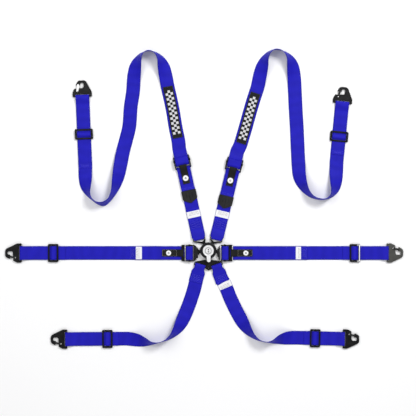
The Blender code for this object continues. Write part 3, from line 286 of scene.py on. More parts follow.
class Tree:
    """Short calls for a material's nodes."""

    def __init__(self, name: str) -> None:
        """Starts a material with one Principled shader.

        Args:
            name: the material's name.
        """
        self.material = bpy.data.materials.new(name)
        self.material.use_nodes = True
        self.nodes = self.material.node_tree.nodes
        self.links = self.material.node_tree.links
        self.shader = self.nodes["Principled BSDF"]

    def add(self, kind: str, **values: object) -> bpy.types.Node:
        """New node with its properties set.

        Args:
            kind: the node's type.
            values: its properties.

        Returns:
            The node.
        """
        node = self.nodes.new(kind)
        for key, value in values.items():
            setattr(node, key, value)
        return node

    def feed(self, socket: bpy.types.NodeSocket, value: object) -> None:
        """Links an output to a socket, or sets the socket's value.

        Args:
            socket: the socket.
            value: an output, or a plain value.
        """
        if isinstance(value, bpy.types.NodeSocket):
            self.links.new(value, socket)
        else:
            socket.default_value = value

    def math(self, operation: str, *values: object) -> bpy.types.NodeSocket:
        """Math node fed with values or outputs.

        Args:
            operation: what it does.
            values: what it's fed with.

        Returns:
            Its output.
        """
        node = self.add("ShaderNodeMath", operation=operation)
        for socket, value in zip(node.inputs, values):
            self.feed(socket, value)
        return node.outputs[0]

    def place(self, uv: bool) -> bpy.types.NodeSocket:
        """Coordinates of the piece.

        Args:
            uv: whether to take its weave map; if not, its own space.

        Returns:
            The coordinates.
        """
        if uv:
            return self.add("ShaderNodeUVMap", uv_map=WEAVE_MAP).outputs[0]
        return self.add("ShaderNodeTexCoord").outputs["Object"]

    def split(self, vector: bpy.types.NodeSocket) -> list[bpy.types.NodeSocket]:
        """The three numbers of a vector.

        Args:
            vector: the vector.

        Returns:
            Its x, y and z.
        """
        node = self.add("ShaderNodeSeparateXYZ")
        self.feed(node.inputs[0], vector)
        return list(node.outputs)

    def noise(self, vector: bpy.types.NodeSocket, scale: float, detail: float = 3.0) -> bpy.types.NodeSocket:
        """Noise between 0 and 1.

        Args:
            vector: the coordinates.
            scale: how close its spots are.
            detail: how much fine detail it has.

        Returns:
            The noise.
        """
        node = self.add("ShaderNodeTexNoise")
        self.feed(node.inputs["Vector"], vector)
        node.inputs["Scale"].default_value = scale
        node.inputs["Detail"].default_value = detail
        return node.outputs[0]

    def wave(self, value: bpy.types.NodeSocket, pitch: float) -> bpy.types.NodeSocket:
        """Sine of a length, from 0 to 1, repeating every pitch."""
        turn = self.math("MULTIPLY", value, 2.0 * math.pi / pitch)
        return self.math("MULTIPLY_ADD", self.math("SINE", turn), 0.5, 0.5)

    def mix(self, share: object, first: object, second: object) -> bpy.types.NodeSocket:
        """Blend of two colours.

        Args:
            share: the second one's share.
            first: the first colour.
            second: the second colour.

        Returns:
            The blend.
        """
        node = self.add("ShaderNodeMix", data_type="RGBA")
        for socket, value in ((node.inputs[0], share), (node.inputs[6], first), (node.inputs[7], second)):
            self.feed(socket, value)
        return node.outputs[2]

    def bump(self, height: bpy.types.NodeSocket, strength: float, distance: float) -> None:
        """Bump on the shader's normal.

        Args:
            height: the height.
            strength: how strong it is.
            distance: how far it reaches.
        """
        node = self.add("ShaderNodeBump")
        node.inputs["Strength"].default_value = strength
        node.inputs["Distance"].default_value = distance
        self.feed(node.inputs["Height"], height)
        self.feed(self.shader.inputs["Normal"], node.outputs[0])

    def set(self, **values: object) -> None:
        """Values of the shader, named with underscores for spaces."""
        for key, value in values.items():
            self.feed(self.shader.inputs[key.replace("_", " ")], value)


def rgba(colour: Sequence[float]) -> tuple[float, float, float, float]:
    """Colour with full alpha."""
    return (colour[0], colour[1], colour[2], 1.0)


@dataclass(frozen=True)
class Webbing:
    """Woven polyester webbing: lengthwise ribs, a fine twill across them, darker selvedges."""

    name: str
    colour: tuple[float, float, float]
    shade: tuple[float, float, float]
    width: float = WEBBING_WIDTH
    rib_pitch: float = 0.0026
    twill_pitch: float = 0.0013
    sheen: float = 0.015
    selvedge: float = 0.0030
    band_pitch: float = 0.038

    def material(self) -> bpy.types.Material:
        """Builds the finish.

        Returns:
            The material.
        """
        tree = Tree(self.name)
        place = tree.place(uv=True)
        across, along, _ = tree.split(place)
        rib = tree.wave(across, self.rib_pitch)
        lean = tree.math("ABSOLUTE", tree.math("SUBTRACT", rib, 0.5))
        twill = tree.wave(tree.math("MULTIPLY_ADD", lean, 0.0016, along), self.twill_pitch)
        weave = tree.math("MULTIPLY_ADD", twill, 0.45, tree.math("MULTIPLY", rib, 0.55))
        edge = tree.math("ABSOLUTE", tree.math("SUBTRACT", across, self.width / 2.0))
        selvedge = tree.math("GREATER_THAN", edge, self.width / 2.0 - self.selvedge)
        mottle = tree.noise(place, 55.0, 4.0)
        dye = tree.noise(place, 9.0, 2.0)
        bands = tree.wave(tree.math("MULTIPLY_ADD", dye, 0.060, along), self.band_pitch)
        share = tree.math("MULTIPLY_ADD", weave, 0.24, tree.math("MULTIPLY", mottle, 0.24))
        # Random dye tone and cross bands, lighter and darker along the strap.
        tone_and_bands = tree.math("MULTIPLY_ADD", dye, 0.22, tree.math("MULTIPLY", bands, 0.16))
        share = tree.math("ADD", share, tone_and_bands)
        share = tree.math("MULTIPLY_ADD", selvedge, 0.34, share)
        colour = tree.mix(share, rgba(self.colour), rgba(self.shade))
        rough = tree.math("MULTIPLY_ADD", mottle, 0.16, 0.52)
        tree.set(Base_Color=colour, Roughness=rough, Sheen_Weight=self.sheen, Sheen_Roughness=0.45)
        tree.set(Specular_IOR_Level=0.14)
        height = tree.math("MULTIPLY_ADD", selvedge, 0.5, weave)
        tree.bump(height, 0.35, 0.00025)
        return tree.material


@dataclass(frozen=True)
class CoatedSteel:
    """Coated plate, with the coat rubbed thinner here and there."""

    name: str
    colour: tuple[float, float, float] = (0.004, 0.004, 0.0045)
    worn: tuple[float, float, float] = (0.028, 0.028, 0.029)
    roughness: float = 0.30

    def material(self) -> bpy.types.Material:
        """Builds the finish.

        Returns:
            The material.
        """
        tree = Tree(self.name)
        place = tree.place(uv=False)
        cloud = tree.noise(place, 60.0, 5.0)
        speck = tree.noise(place, 900.0, 2.0)
        rubbed = tree.math("MULTIPLY", tree.math("POWER", cloud, 3.0), 0.9)
        tree.set(Base_Color=tree.mix(rubbed, rgba(self.colour), rgba(self.worn)), Specular_IOR_Level=0.14)
        tree.set(Roughness=tree.math("MULTIPLY_ADD", cloud, 0.22, self.roughness - 0.08))
        tree.bump(tree.math("MULTIPLY_ADD", speck, 0.6, cloud), 0.12, 0.0002)
        return tree.material


@dataclass(frozen=True)
class BrightSteel:
    """Bright metal with faint brushing."""

    name: str
    colour: tuple[float, float, float] = (0.80, 0.80, 0.81)
    roughness: float = 0.18
    brushing: float = 1400.0
    metallic: float = 1.0

    def material(self) -> bpy.types.Material:
        """Builds the finish.

        Returns:
            The material.
        """
        tree = Tree(self.name)
        place = tree.place(uv=False)
        stretch = tree.add("ShaderNodeMapping")
        tree.feed(stretch.inputs["Vector"], place)
        stretch.inputs["Scale"].default_value = (1.0, 0.06, 1.0)
        brushed = tree.noise(stretch.outputs[0], self.brushing, 2.0)
        cloud = tree.noise(place, 90.0, 4.0)
        dull = tuple(channel * 0.86 for channel in self.colour)
        tree.set(Base_Color=tree.mix(cloud, rgba(self.colour), rgba(dull)), Metallic=self.metallic)
        tree.set(Roughness=tree.math("MULTIPLY_ADD", brushed, 0.14, self.roughness - 0.05))
        tree.bump(brushed, 0.06, 0.0001)
        return tree.material


@dataclass(frozen=True)
class MouldedPlastic:
    """Moulded black plastic with a fine grain."""

    name: str
    colour: tuple[float, float, float] = (0.004, 0.004, 0.0045)
    roughness: float = 0.28
    grain: float = 1600.0

    def material(self) -> bpy.types.Material:
        """Builds the finish.

        Returns:
            The material.
        """
        tree = Tree(self.name)
        place = tree.place(uv=False)
        grain = tree.noise(place, self.grain, 2.0)
        cloud = tree.noise(place, 40.0, 3.0)
        light = tuple(channel * 2.0 + 0.002 for channel in self.colour)
        tree.set(Base_Color=tree.mix(cloud, rgba(self.colour), rgba(light)))
        tree.set(Roughness=tree.math("MULTIPLY_ADD", cloud, 0.16, self.roughness - 0.05), Coat_Weight=0.06)
        tree.set(Coat_Roughness=0.15, Specular_IOR_Level=0.22)
        tree.bump(grain, 0.15, 0.0001)
        return tree.material


@dataclass(frozen=True)
class Thread:
    """Twisted sewing thread."""

    name: str
    colour: tuple[float, float, float]

    def material(self) -> bpy.types.Material:
        """Builds the finish.

        Returns:
            The material.
        """
        tree = Tree(self.name)
        fuzz = tree.noise(tree.place(uv=False), 1200.0, 3.0)
        dark = tuple(channel * 0.5 for channel in self.colour)
        tree.set(Base_Color=tree.mix(fuzz, rgba(dark), rgba(self.colour)), Roughness=0.6, Sheen_Weight=0.3)
        tree.bump(fuzz, 0.3, 0.0001)
        return tree.material


@dataclass(frozen=True)
class LabelCloth:
    """White satin label with rows of faint grey rules in place of print."""

    name: str
    length: float = 0.024
    width: float = 0.046
    row_pitch: float = 0.0046
    block_pitch: float = 0.0031

    def material(self) -> bpy.types.Material:
        """Builds the finish.

        Returns:
            The material.
        """
        tree = Tree(self.name)
        place = tree.place(uv=True)
        across, along, _ = tree.split(place)
        row = tree.math("GREATER_THAN", tree.wave(along, self.row_pitch), 0.62)
        jitter = tree.math("MULTIPLY", tree.noise(place, 160.0, 1.0), 0.010)
        block = tree.math("GREATER_THAN", tree.wave(tree.math("ADD", across, jitter), self.block_pitch), 0.35)
        middle = tree.math("SUBTRACT", across, self.width / 2.0)
        inside = tree.math("LESS_THAN", tree.math("ABSOLUTE", middle), self.width * 0.38)
        near = tree.math("SUBTRACT", along, self.length * 0.62)
        centred = tree.math("LESS_THAN", tree.math("ABSOLUTE", near), self.length * 0.22)
        rule = tree.math("MULTIPLY", row, block)
        rule = tree.math("MULTIPLY", rule, tree.math("MULTIPLY", inside, centred))
        faint = tree.math("MULTIPLY", rule, 0.85)
        colour = tree.mix(faint, (0.74, 0.74, 0.76, 1.0), (0.14, 0.14, 0.16, 1.0))
        threads = tree.wave(across, 0.0008)
        tree.set(Base_Color=colour, Roughness=0.55, Sheen_Weight=0.2)
        tree.bump(threads, 0.15, 0.0001)
        return tree.material


@dataclass(frozen=True)
class PatchCloth:
    """Black woven patch with a plain border and a pale chequered band."""

    name: str
    length: float = 0.192
    width: float = 0.037
    cell: float = 0.0090
    cells: int = 18

    def material(self) -> bpy.types.Material:
        """Builds the finish.

        Returns:
            The material.
        """
        tree = Tree(self.name)
        place = tree.place(uv=True)
        across, along, _ = tree.split(place)
        off_x = tree.math("SUBTRACT", across, self.width / 2.0)
        off_y = tree.math("SUBTRACT", along, self.length / 2.0)
        column = tree.math("FLOOR", tree.math("MULTIPLY_ADD", off_x, 1.0 / self.cell, 101.5))
        row = tree.math("FLOOR", tree.math("MULTIPLY_ADD", off_y, 1.0 / self.cell, 100.0))
        chequer = tree.math("MODULO", tree.math("ADD", column, row), 2.0)
        band = tree.math("LESS_THAN", tree.math("ABSOLUTE", off_x), self.cell * 1.5)
        inside = tree.math("LESS_THAN", tree.math("ABSOLUTE", off_y), self.cell * self.cells / 2.0)
        print_here = tree.math("MULTIPLY", tree.math("MULTIPLY", chequer, band), inside)
        weft = tree.wave(along, 0.0011)
        warp = tree.wave(across, 0.0011)
        weave = tree.math("MULTIPLY", weft, warp)
        base = tree.mix(weave, (0.005, 0.005, 0.0055, 1.0), (0.014, 0.014, 0.015, 1.0))
        white = tree.mix(weave, (0.50, 0.50, 0.52, 1.0), (0.72, 0.72, 0.74, 1.0))
        tree.set(Base_Color=tree.mix(print_here, base, white), Roughness=0.62, Sheen_Weight=0.04)
        tree.set(Specular_IOR_Level=0.14)
        tree.bump(tree.math("ADD", weave, print_here), 0.4, 0.0002)
        return tree.material


@dataclass(frozen=True)
class Ink:
    """Plain pale enamel of a round dot."""

    name: str
    colour: tuple[float, float, float] = (0.82, 0.82, 0.83)

    def material(self) -> bpy.types.Material:
        """Builds the finish.

        Returns:
            The material.
        """
        tree = Tree(self.name)
        place = tree.place(uv=False)
        cloud = tree.noise(place, 300.0, 3.0)
        grey = tuple(channel * 0.85 for channel in self.colour)
        tree.set(Base_Color=tree.mix(cloud, rgba(self.colour), rgba(grey)), Roughness=0.4)
        tree.bump(cloud, 0.1, 0.0001)
        return tree.material


class Finishes:
    """Every finish of the harness, built once."""

    def __init__(self) -> None:
        """Builds the materials."""
        self.blue = Webbing("royal_blue_webbing", (0.013, 0.010, 0.470), (0.004, 0.003, 0.235)).material()
        self.black = Webbing(
            "black_webbing", (0.011, 0.011, 0.010), (0.003, 0.003, 0.003), width=0.026, rib_pitch=0.0022,
            twill_pitch=0.0012, sheen=0.04,
        ).material()
        self.coated = CoatedSteel("black_coated_steel").material()
        self.satin = CoatedSteel(
            "satin_black_steel", (0.012, 0.012, 0.012), (0.07, 0.07, 0.07), roughness=0.36,
        ).material()
        self.grey = CoatedSteel(
            "grey_coated_steel", (0.050, 0.050, 0.046), (0.12, 0.12, 0.115), roughness=0.40,
        ).material()
        # Aluminium with a near-white base and little metallic: its whiteness is a painted reflection of a
        # bright studio, in place of polished metal.
        self.alloy = BrightSteel(
            "aluminium_painted_reflection", (0.86, 0.86, 0.87), roughness=0.34, brushing=900.0, metallic=0.30,
        ).material()
        self.bright = BrightSteel("bright_steel").material()
        self.dull = BrightSteel(
            "dull_steel", (0.56, 0.56, 0.57), roughness=0.32, brushing=1000.0,
        ).material()
        self.plastic = MouldedPlastic("moulded_black").material()
        self.rubber = MouldedPlastic("soft_black", (0.007, 0.007, 0.007), roughness=0.36).material()
        self.gloss = MouldedPlastic(
            "gloss_black", (0.008, 0.008, 0.009), roughness=0.16, grain=900.0,
        ).material()
        self.blue_thread = Thread("blue_thread", (0.060, 0.050, 0.700)).material()
        self.black_thread = Thread("black_thread", (0.05, 0.05, 0.055)).material()
        self.cream_thread = Thread("cream_thread", (0.50, 0.47, 0.38)).material()
        self.label = LabelCloth("white_label").material()
        self.patch = PatchCloth("woven_patch").material()
        self.ink = Ink("pale_enamel").material()


# Making pieces

def new_piece(
    name: str, bm: bmesh.types.BMesh, finish: bpy.types.Material, smooth: float = 35.0,
) -> bpy.types.Object:
    """Turns a bmesh into a shaded piece.

    Args:
        name: the piece's name.
        bm: its shape, in the harness's frame.
        finish: its material.
        smooth: edges sharper than this many degrees stay sharp.

    Returns:
        The object, at the origin.
    """
    mesh = bpy.data.meshes.new(name)
    bm.to_mesh(mesh)
    bm.free()
    mesh.materials.append(finish)
    mesh.shade_smooth()
    mesh.set_sharp_from_angle(angle=math.radians(smooth))
    piece = bpy.data.objects.new(name, mesh)
    bpy.context.scene.collection.objects.link(piece)
    return piece


def fitted(piece: bpy.types.Object, body: str, slot: str, *nodes: str) -> bpy.types.Object:
    """Puts a piece on its body, in place of its nodes.

    Args:
        piece: the piece.
        body: the body it rides on.
        slot: its material slot; not used.
        nodes: the solids it stands for.

    Returns:
        The same piece.
    """
    if nodes:
        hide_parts(*nodes)
    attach(piece, body)
    LOG.info("%s on %s", piece.name, body)
    return piece


@dataclass
class Ribbon:
    """A strip of webbing drawn along its sections."""

    name: str
    sections: list[Section]
    width: float = WEBBING_WIDTH
    thickness: float = WEBBING_THICKNESS
    columns: int = 8
    round_edge: float = 0.0006

    def rows(self) -> bmesh.types.BMesh:
        """The strip as one open surface with its weave map in metres.

        Returns:
            The mesh.
        """
        bm = bmesh.new()
        uv = bm.loops.layers.uv.new(WEAVE_MAP)
        spots: dict[bmesh.types.BMVert, tuple[float, float]] = {}
        shares = [column / self.columns for column in range(self.columns + 1)]
        centre, across = self.sections[0]
        row = [bm.verts.new(centre + across * self.width * (share - 0.5)) for share in shares]
        spots.update({vert: (share * self.width, 0.0) for vert, share in zip(row, shares)})
        edges = [bm.edges.new(pair) for pair in zip(row, row[1:])]
        along = 0.0
        for (before, _), (centre, across) in zip(self.sections, self.sections[1:]):
            along += (centre - before).length
            column_of = {tuple(vert.co): index for index, vert in enumerate(row)}
            grown = bmesh.ops.extrude_edge_only(bm, edges=edges)["geom"]
            fresh = [item for item in grown if isinstance(item, bmesh.types.BMVert)]
            row = sorted(fresh, key=lambda vert: column_of[tuple(vert.co)])
            edges = [item for item in grown if isinstance(item, bmesh.types.BMEdge)]
            edges = [edge for edge in edges if all(vert in fresh for vert in edge.verts)]
            for vert, share in zip(row, shares):
                vert.co = centre + across * self.width * (share - 0.5)
                spots[vert] = (share * self.width, along)
        for face in bm.faces:
            for loop in face.loops:
                loop[uv].uv = spots[loop.vert]
        return bm

    def build(self, finish: bpy.types.Material) -> bpy.types.Object:
        """The finished strip, with its thickness and rounded selvedges.

        Args:
            finish: its material.

        Returns:
            The strip.
        """
        piece = new_piece(self.name, self.rows(), finish, 50.0)
        thick = piece.modifiers.new("thickness", "SOLIDIFY")
        thick.thickness = self.thickness
        thick.offset = 0.0
        thick.use_even_offset = True
        bevel = piece.modifiers.new("selvedge", "BEVEL")
        bevel.width = self.round_edge
        bevel.segments = 2
        bevel.limit_method = "ANGLE"
        bevel.angle_limit = math.radians(60.0)
        return piece

    def flat(self) -> tuple[float, float]:
        """Width and length before the strip was laid."""
        return (self.width, path_length(self.sections))

    def build_cloth(
        self, finish: bpy.types.Material, body: str, slot: str, node: str,
    ) -> bpy.types.Object:
        """The strip in place of its node.

        Args:
            finish: its material.
            body: the body it rides on.
            slot: its material slot; not used.
            node: the solid it stands for.

        Returns:
            The strip.
        """
        piece = fitted(self.build(finish), body, slot, node)
        self.flat()
        return piece


def sew(name: str, bm: bmesh.types.BMesh, thread: bpy.types.Material, body: str, slot: str) -> None:
    """Finishes stitches and puts them on their body."""
    fitted(new_piece(name, bm, thread, 80.0), body, slot)


def stitch_row(
    bm: bmesh.types.BMesh, points: Sequence[Vector], pitch: float = 0.0034, width: float = 0.0007,
) -> None:
    """Adds small stitches end to end along a line of points.

    Args:
        bm: the mesh that the stitches go into.
        points: the line's corners.
        pitch: about how long one stitch and its space are.
        width: a stitch's width.
    """
    for start, end in zip(points, points[1:]):
        span = end - start
        count = max(1, round(span.length / pitch))
        turn = Matrix.Rotation(math.atan2(span.y, span.x), 4, "Z")
        tilt = Matrix.Rotation(-math.atan2(span.z, math.hypot(span.x, span.y)), 4, "Y")
        size = Matrix.Diagonal((span.length / count * 0.42, width / 2.0, 0.00030, 1.0))
        for index in range(count):
            spot = start + span * ((index + 0.5) / count)
            place = Matrix.Translation(spot) @ turn @ tilt @ size
            bmesh.ops.create_uvsphere(bm, u_segments=6, v_segments=4, radius=1.0, matrix=place)


def outline_stitch(run: Run, u_range: tuple[float, float], half: float, z: float) -> bmesh.types.BMesh:
    """Box of stitches.

    Args:
        run: the strap's run.
        u_range: where the box starts and ends along it.
        half: half the box's width.
        z: level of the stitched face.

    Returns:
        The stitches.
    """
    bm = bmesh.new()
    near, far = u_range
    corners = [(near, -half), (far, -half), (far, half), (near, half), (near, -half)]
    stitch_row(bm, [run.at(u, v, z) for u, v in corners])
    return bm


def box_stitch(run: Run, u_range: tuple[float, float], half: float, z: float) -> bmesh.types.BMesh:
    """Box of stitches with a zigzag inside it, as on a load-bearing fold.

    Args:
        run: the strap's run.
        u_range: where the box starts and ends along it.
        half: half the box's width.
        z: level of the webbing's face.

    Returns:
        The stitches.
    """
    bm = outline_stitch(run, u_range, half, z)
    near, far = u_range
    inset = half - 0.004
    start, length, turns = near + 0.003, far - near - 0.006, 6
    for step in range(turns):
        ends = [(start + length * turn / turns, inset if turn % 2 else -inset) for turn in (step, step + 1)]
        stitch_row(bm, [run.at(u, v, z) for u, v in ends])
    return bm


def plated(
    node: str, finish: bpy.types.Material, body: str, slot: str, edge: float = 0.0005, segments: int = 2,
) -> bpy.types.Object:
    """A hard piece from its solid, with its faces joined and every edge eased.

    Args:
        node: the solid it stands for.
        finish: its material.
        body: the body it rides on.
        slot: its material slot; not used.
        edge: width of the eased edges.
        segments: how finely they are rounded.

    Returns:
        The piece.
    """
    bm = bmesh.new()
    bm.from_mesh(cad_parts[node].data)
    bmesh.ops.remove_doubles(bm, verts=bm.verts, dist=MERGE_DISTANCE)
    bmesh.ops.dissolve_limit(bm, angle_limit=math.radians(1.0), verts=bm.verts, edges=bm.edges)
    piece = new_piece(f"{node}_finished", bm, finish, 32.0)
    bevel = piece.modifiers.new("eased_edges", "BEVEL")
    bevel.width = edge
    bevel.segments = segments
    bevel.limit_method = "ANGLE"
    bevel.angle_limit = math.radians(40.0)
    bevel.harden_normals = True
    return fitted(piece, body, slot, node)


def spun(profile: Sequence[tuple[float, float]], steps: int = 96) -> bmesh.types.BMesh:
    """Turned shape about the buckle's axis.

    Args:
        profile: its outline, as (r, z).
        steps: how many sides it has.

    Returns:
        The mesh.
    """
    bm = bmesh.new()
    verts = [bm.verts.new((radius, 0.0, z)) for radius, z in profile]
    edges = [bm.edges.new(pair) for pair in zip(verts, verts[1:])]
    bmesh.ops.spin(
        bm, geom=verts + edges, cent=(0.0, 0.0, 0.0), axis=(0.0, 0.0, 1.0), angle=2.0 * math.pi,
        steps=steps, use_merge=True,
    )
    bmesh.ops.remove_doubles(bm, verts=bm.verts, dist=MERGE_DISTANCE)
    bmesh.ops.recalc_face_normals(bm, faces=bm.faces)
    return bm


def disc(
    centre: Vector, radius: float, height: float, segments: int = 40, edge: float = 0.0002,
) -> bmesh.types.BMesh:
    """Flat round piece with an eased rim.

    Args:
        centre: the middle of its lower face.
        radius: its radius.
        height: its height.
        segments: how many sides it has.
        edge: width of the eased rim.

    Returns:
        The mesh.
    """
    bm = bmesh.new()
    place = Matrix.Translation(centre + UP * height / 2.0)
    bmesh.ops.create_cone(
        bm, cap_ends=True, segments=segments, radius1=radius, radius2=radius, depth=height, matrix=place,
    )
    rims = [item for item in bm.edges if len(item.link_faces) == 2 and item.calc_face_angle() > 1.0]
    bmesh.ops.bevel(bm, geom=rims, offset=edge, segments=2, profile=0.5, affect="EDGES", material=-1)
    return bm


def eased_boxes(
    run: Run, boxes: Sequence[tuple[float, ...]], edge: float, segments: int = 2,
) -> bmesh.types.BMesh:
    """Boxes in line with a run, with every edge eased.

    Args:
        run: the run that they are in line with.
        boxes: each one's middle as u, v and level, then its length, width and height.
        edge: width of the eased edges.
        segments: how finely they are rounded.

    Returns:
        The mesh.
    """
    bm = bmesh.new()
    turn = Matrix.Rotation(run.angle, 4, "Z")
    for u, v, level, length, width, height in boxes:
        size = Matrix.Diagonal((length, width, height, 1.0))
        bmesh.ops.create_cube(bm, size=1.0, matrix=Matrix.Translation(run.at(u, v, level)) @ turn @ size)
    bmesh.ops.bevel(
        bm, geom=list(bm.edges), offset=edge, segments=segments, profile=0.5, affect="EDGES", material=-1,
    )
    return bm


# Levels and places that the straps share

TONGUE_BOTTOM = 2.0 * ROW_PITCH
TONGUE_TOP = TONGUE_BOTTOM + PLATE_THICKNESS
SHOULDER_ADJUSTER_BOTTOM = ROW_PITCH
BAR_DEPTH = 0.006
BAR_LOOP_RADIUS = (TONGUE_TOP + GAP + FACE_LIFT - LAYER_1) / 2.0
HOOK_BAR_SIZE = (0.005, 0.003)
HOOK_LOOP_RADIUS = math.hypot(*HOOK_BAR_SIZE) / 2.0 + GAP + FACE_LIFT
HOOK_BAR_LEVEL = LAYER_1 + HOOK_LOOP_RADIUS
STRAIGHT_END = 0.036
ROUTE_START = 0.045


@dataclass(frozen=True)
class LockBarWrap:
    """How webbing comes up out of the window and over the lock bar, with u falling."""

    plate_bottom: float
    layer: float
    reach: float = 0.0113
    foot_radius: float = 0.0021
    crest_radius: float = 0.0025
    lift: float = 0.0078

    @property
    def crest(self) -> float:
        """Level of the webbing's centre over the lock bar."""
        return self.plate_bottom + self.lift + GAP + FACE_LIFT

    def profile(self) -> Profile:
        """From the upright stretch's foot up to the crest.

        Returns:
            The points, as (u, z).
        """
        foot_centre = (self.reach + self.foot_radius, self.layer + self.foot_radius)
        crest_centre = (self.reach - self.crest_radius, self.crest - self.crest_radius)
        foot = arc(foot_centre, self.foot_radius, 270.0, 180.0, 8)
        return foot + arc(crest_centre, self.crest_radius, 0.0, 90.0, 8)


def hook_turn(bar: float, return_length: float) -> Profile:
    """Round a snap hook's bar and back over the strap.

    Args:
        bar: the bar's place along the run.
        return_length: how far the strap comes back.

    Returns:
        The points, as (u, z).
    """
    top = HOOK_BAR_LEVEL + HOOK_LOOP_RADIUS
    turn = arc((bar, HOOK_BAR_LEVEL), HOOK_LOOP_RADIUS, -90.0, 90.0)
    return turn + slope((bar - 0.006, top), (bar - 0.032, LAYER_2)) + [(bar - return_length, LAYER_2)]


def bar_turn(sewn_end: float) -> Profile:
    """From a sewn end, round a tongue's bar at u = 0, to the strap's bottom layer.

    Args:
        sewn_end: where the sewn end lies.

    Returns:
        The points, as (u, z).
    """
    top = LAYER_1 + 2.0 * BAR_LOOP_RADIUS
    centre = (-BAR_DEPTH / 2.0, LAYER_1 + BAR_LOOP_RADIUS)
    turn = arc(centre, BAR_LOOP_RADIUS, 90.0, 270.0)
    return [(sewn_end, LAYER_2)] + slope((0.034, LAYER_2), (0.006, top)) + turn


@dataclass(frozen=True)
class LapPlan:
    """Where one lap strap's pieces are along X; the label's start is from the lock bar."""

    adjuster: float
    tail_end: float
    slider: float
    hook_bar: float
    label: float
    label_length: float
    level_y: float = -0.009
    disc: float = 0.076
    past_slider: float = 0.045


@dataclass(frozen=True)
class LoosePlan:
    """A strap that winds loosely to its snap hook."""

    start: tuple[float, float]
    route: tuple[tuple[float, float, float], ...]
    hook_straight: tuple[float, float]
    hook_bar: tuple[float, float]
    slider_back: float
    return_length: float

    @property
    def hook_run(self) -> Run:
        """Run with its origin on the hook's bar, heading to the hook's tip."""
        towards = run_between(self.hook_straight, self.hook_bar)
        return Run(self.hook_bar[0], self.hook_bar[1], towards.angle)

    def curve(self, first: Run) -> list[Section]:
        """Sections of the winding stretch, from the end of the straight one."""
        start = first.at(ROUTE_START)
        return smooth_route([(start.x, start.y, 0), *self.route, (*self.hook_straight, 0)])

    def end(self) -> list[Section]:
        """Sections round the hook's bar and back."""
        return self.hook_run.sections(spread(hook_turn(0.0, self.return_length)))


@dataclass(frozen=True)
class ShoulderPlan:
    """One shoulder strap's places."""

    adjuster: tuple[float, float]
    patch_start: float
    loose: LoosePlan
    tail: float = 0.110
    seam: float = 0.140


@dataclass(frozen=True)
class CrotchPlan:
    """One crotch strap's places."""

    heading: float
    loose: LoosePlan
    labelled: bool
    sewn_end: float = 0.062


LAP_PLANS = {
    Side.LEFT: LapPlan(
        adjuster=-0.0685, tail_end=-0.269, slider=-0.565, hook_bar=-0.6825, label=0.1735, label_length=0.022,
    ),
    Side.RIGHT: LapPlan(
        adjuster=0.0610, tail_end=0.360, slider=0.534, hook_bar=0.6525, label=0.2580, label_length=0.019,
    ),
}
SHOULDER_PLANS = {
    Side.LEFT: ShoulderPlan((-0.0965, 0.3275), 0.084, LoosePlan((-0.0345, 0.046), (
        (-0.1090, 0.3990, 0), (-0.1180, 0.4430, 0), (-0.1290, 0.5090, 0), (-0.1380, 0.5530, 0),
        (-0.1480, 0.5970, 2), (-0.1560, 0.6400, 12), (-0.1635, 0.6740, 34), (-0.1730, 0.6980, 60),
        (-0.1860, 0.7140, 76), (-0.2060, 0.7250, 84), (-0.2260, 0.7240, 84), (-0.2430, 0.7140, 74),
        (-0.2560, 0.6940, 52), (-0.2650, 0.6700, 28), (-0.2700, 0.6400, 10), (-0.2750, 0.5750, 0),
        (-0.2820, 0.5310, 0), (-0.2900, 0.4430, 0), (-0.3010, 0.4000, 0), (-0.3120, 0.3560, -4),
        (-0.3200, 0.3120, -14), (-0.3275, 0.2680, -34), (-0.3350, 0.2360, -54), (-0.3460, 0.2060, -72),
        (-0.3620, 0.1820, -78), (-0.3810, 0.1700, -73), (-0.4020, 0.1730, -80), (-0.4200, 0.1850, -82),
        (-0.4360, 0.2060, -66), (-0.4450, 0.2330, -36), (-0.4480, 0.2640, -12),
    ), hook_straight=(-0.4485, 0.3100), hook_bar=(-0.4590, 0.5625), slider_back=0.1385, return_length=0.262)),
    Side.RIGHT: ShoulderPlan((0.0955, 0.3185), 0.076, LoosePlan((0.0305, 0.046), (
        (0.1140, 0.3780, 0), (0.1280, 0.4210, 0), (0.1530, 0.5090, 0), (0.1660, 0.5530, 0),
        (0.1800, 0.5970, -2), (0.1890, 0.6400, -12), (0.1970, 0.6740, -34), (0.2060, 0.7000, -60),
        (0.2200, 0.7190, -76), (0.2400, 0.7300, -84), (0.2600, 0.7290, -84), (0.2800, 0.7190, -76),
        (0.2970, 0.7000, -56), (0.3070, 0.6740, -30), (0.3120, 0.6400, -10), (0.3160, 0.5750, 0),
        (0.3180, 0.5310, 0), (0.3230, 0.4430, 0), (0.3270, 0.3560, 0), (0.3290, 0.3120, 8),
        (0.3330, 0.2680, 26), (0.3420, 0.2400, 48), (0.3560, 0.2160, 68), (0.3760, 0.1970, 80),
        (0.4000, 0.1880, 86), (0.4250, 0.1880, 86), (0.4460, 0.1990, 74), (0.4600, 0.2220, 50),
        (0.4650, 0.2560, 22), (0.4665, 0.2860, 6),
    ), hook_straight=(0.4680, 0.3250), hook_bar=(0.4885, 0.5385), slider_back=0.1235, return_length=0.190),
        tail=0.122),
}
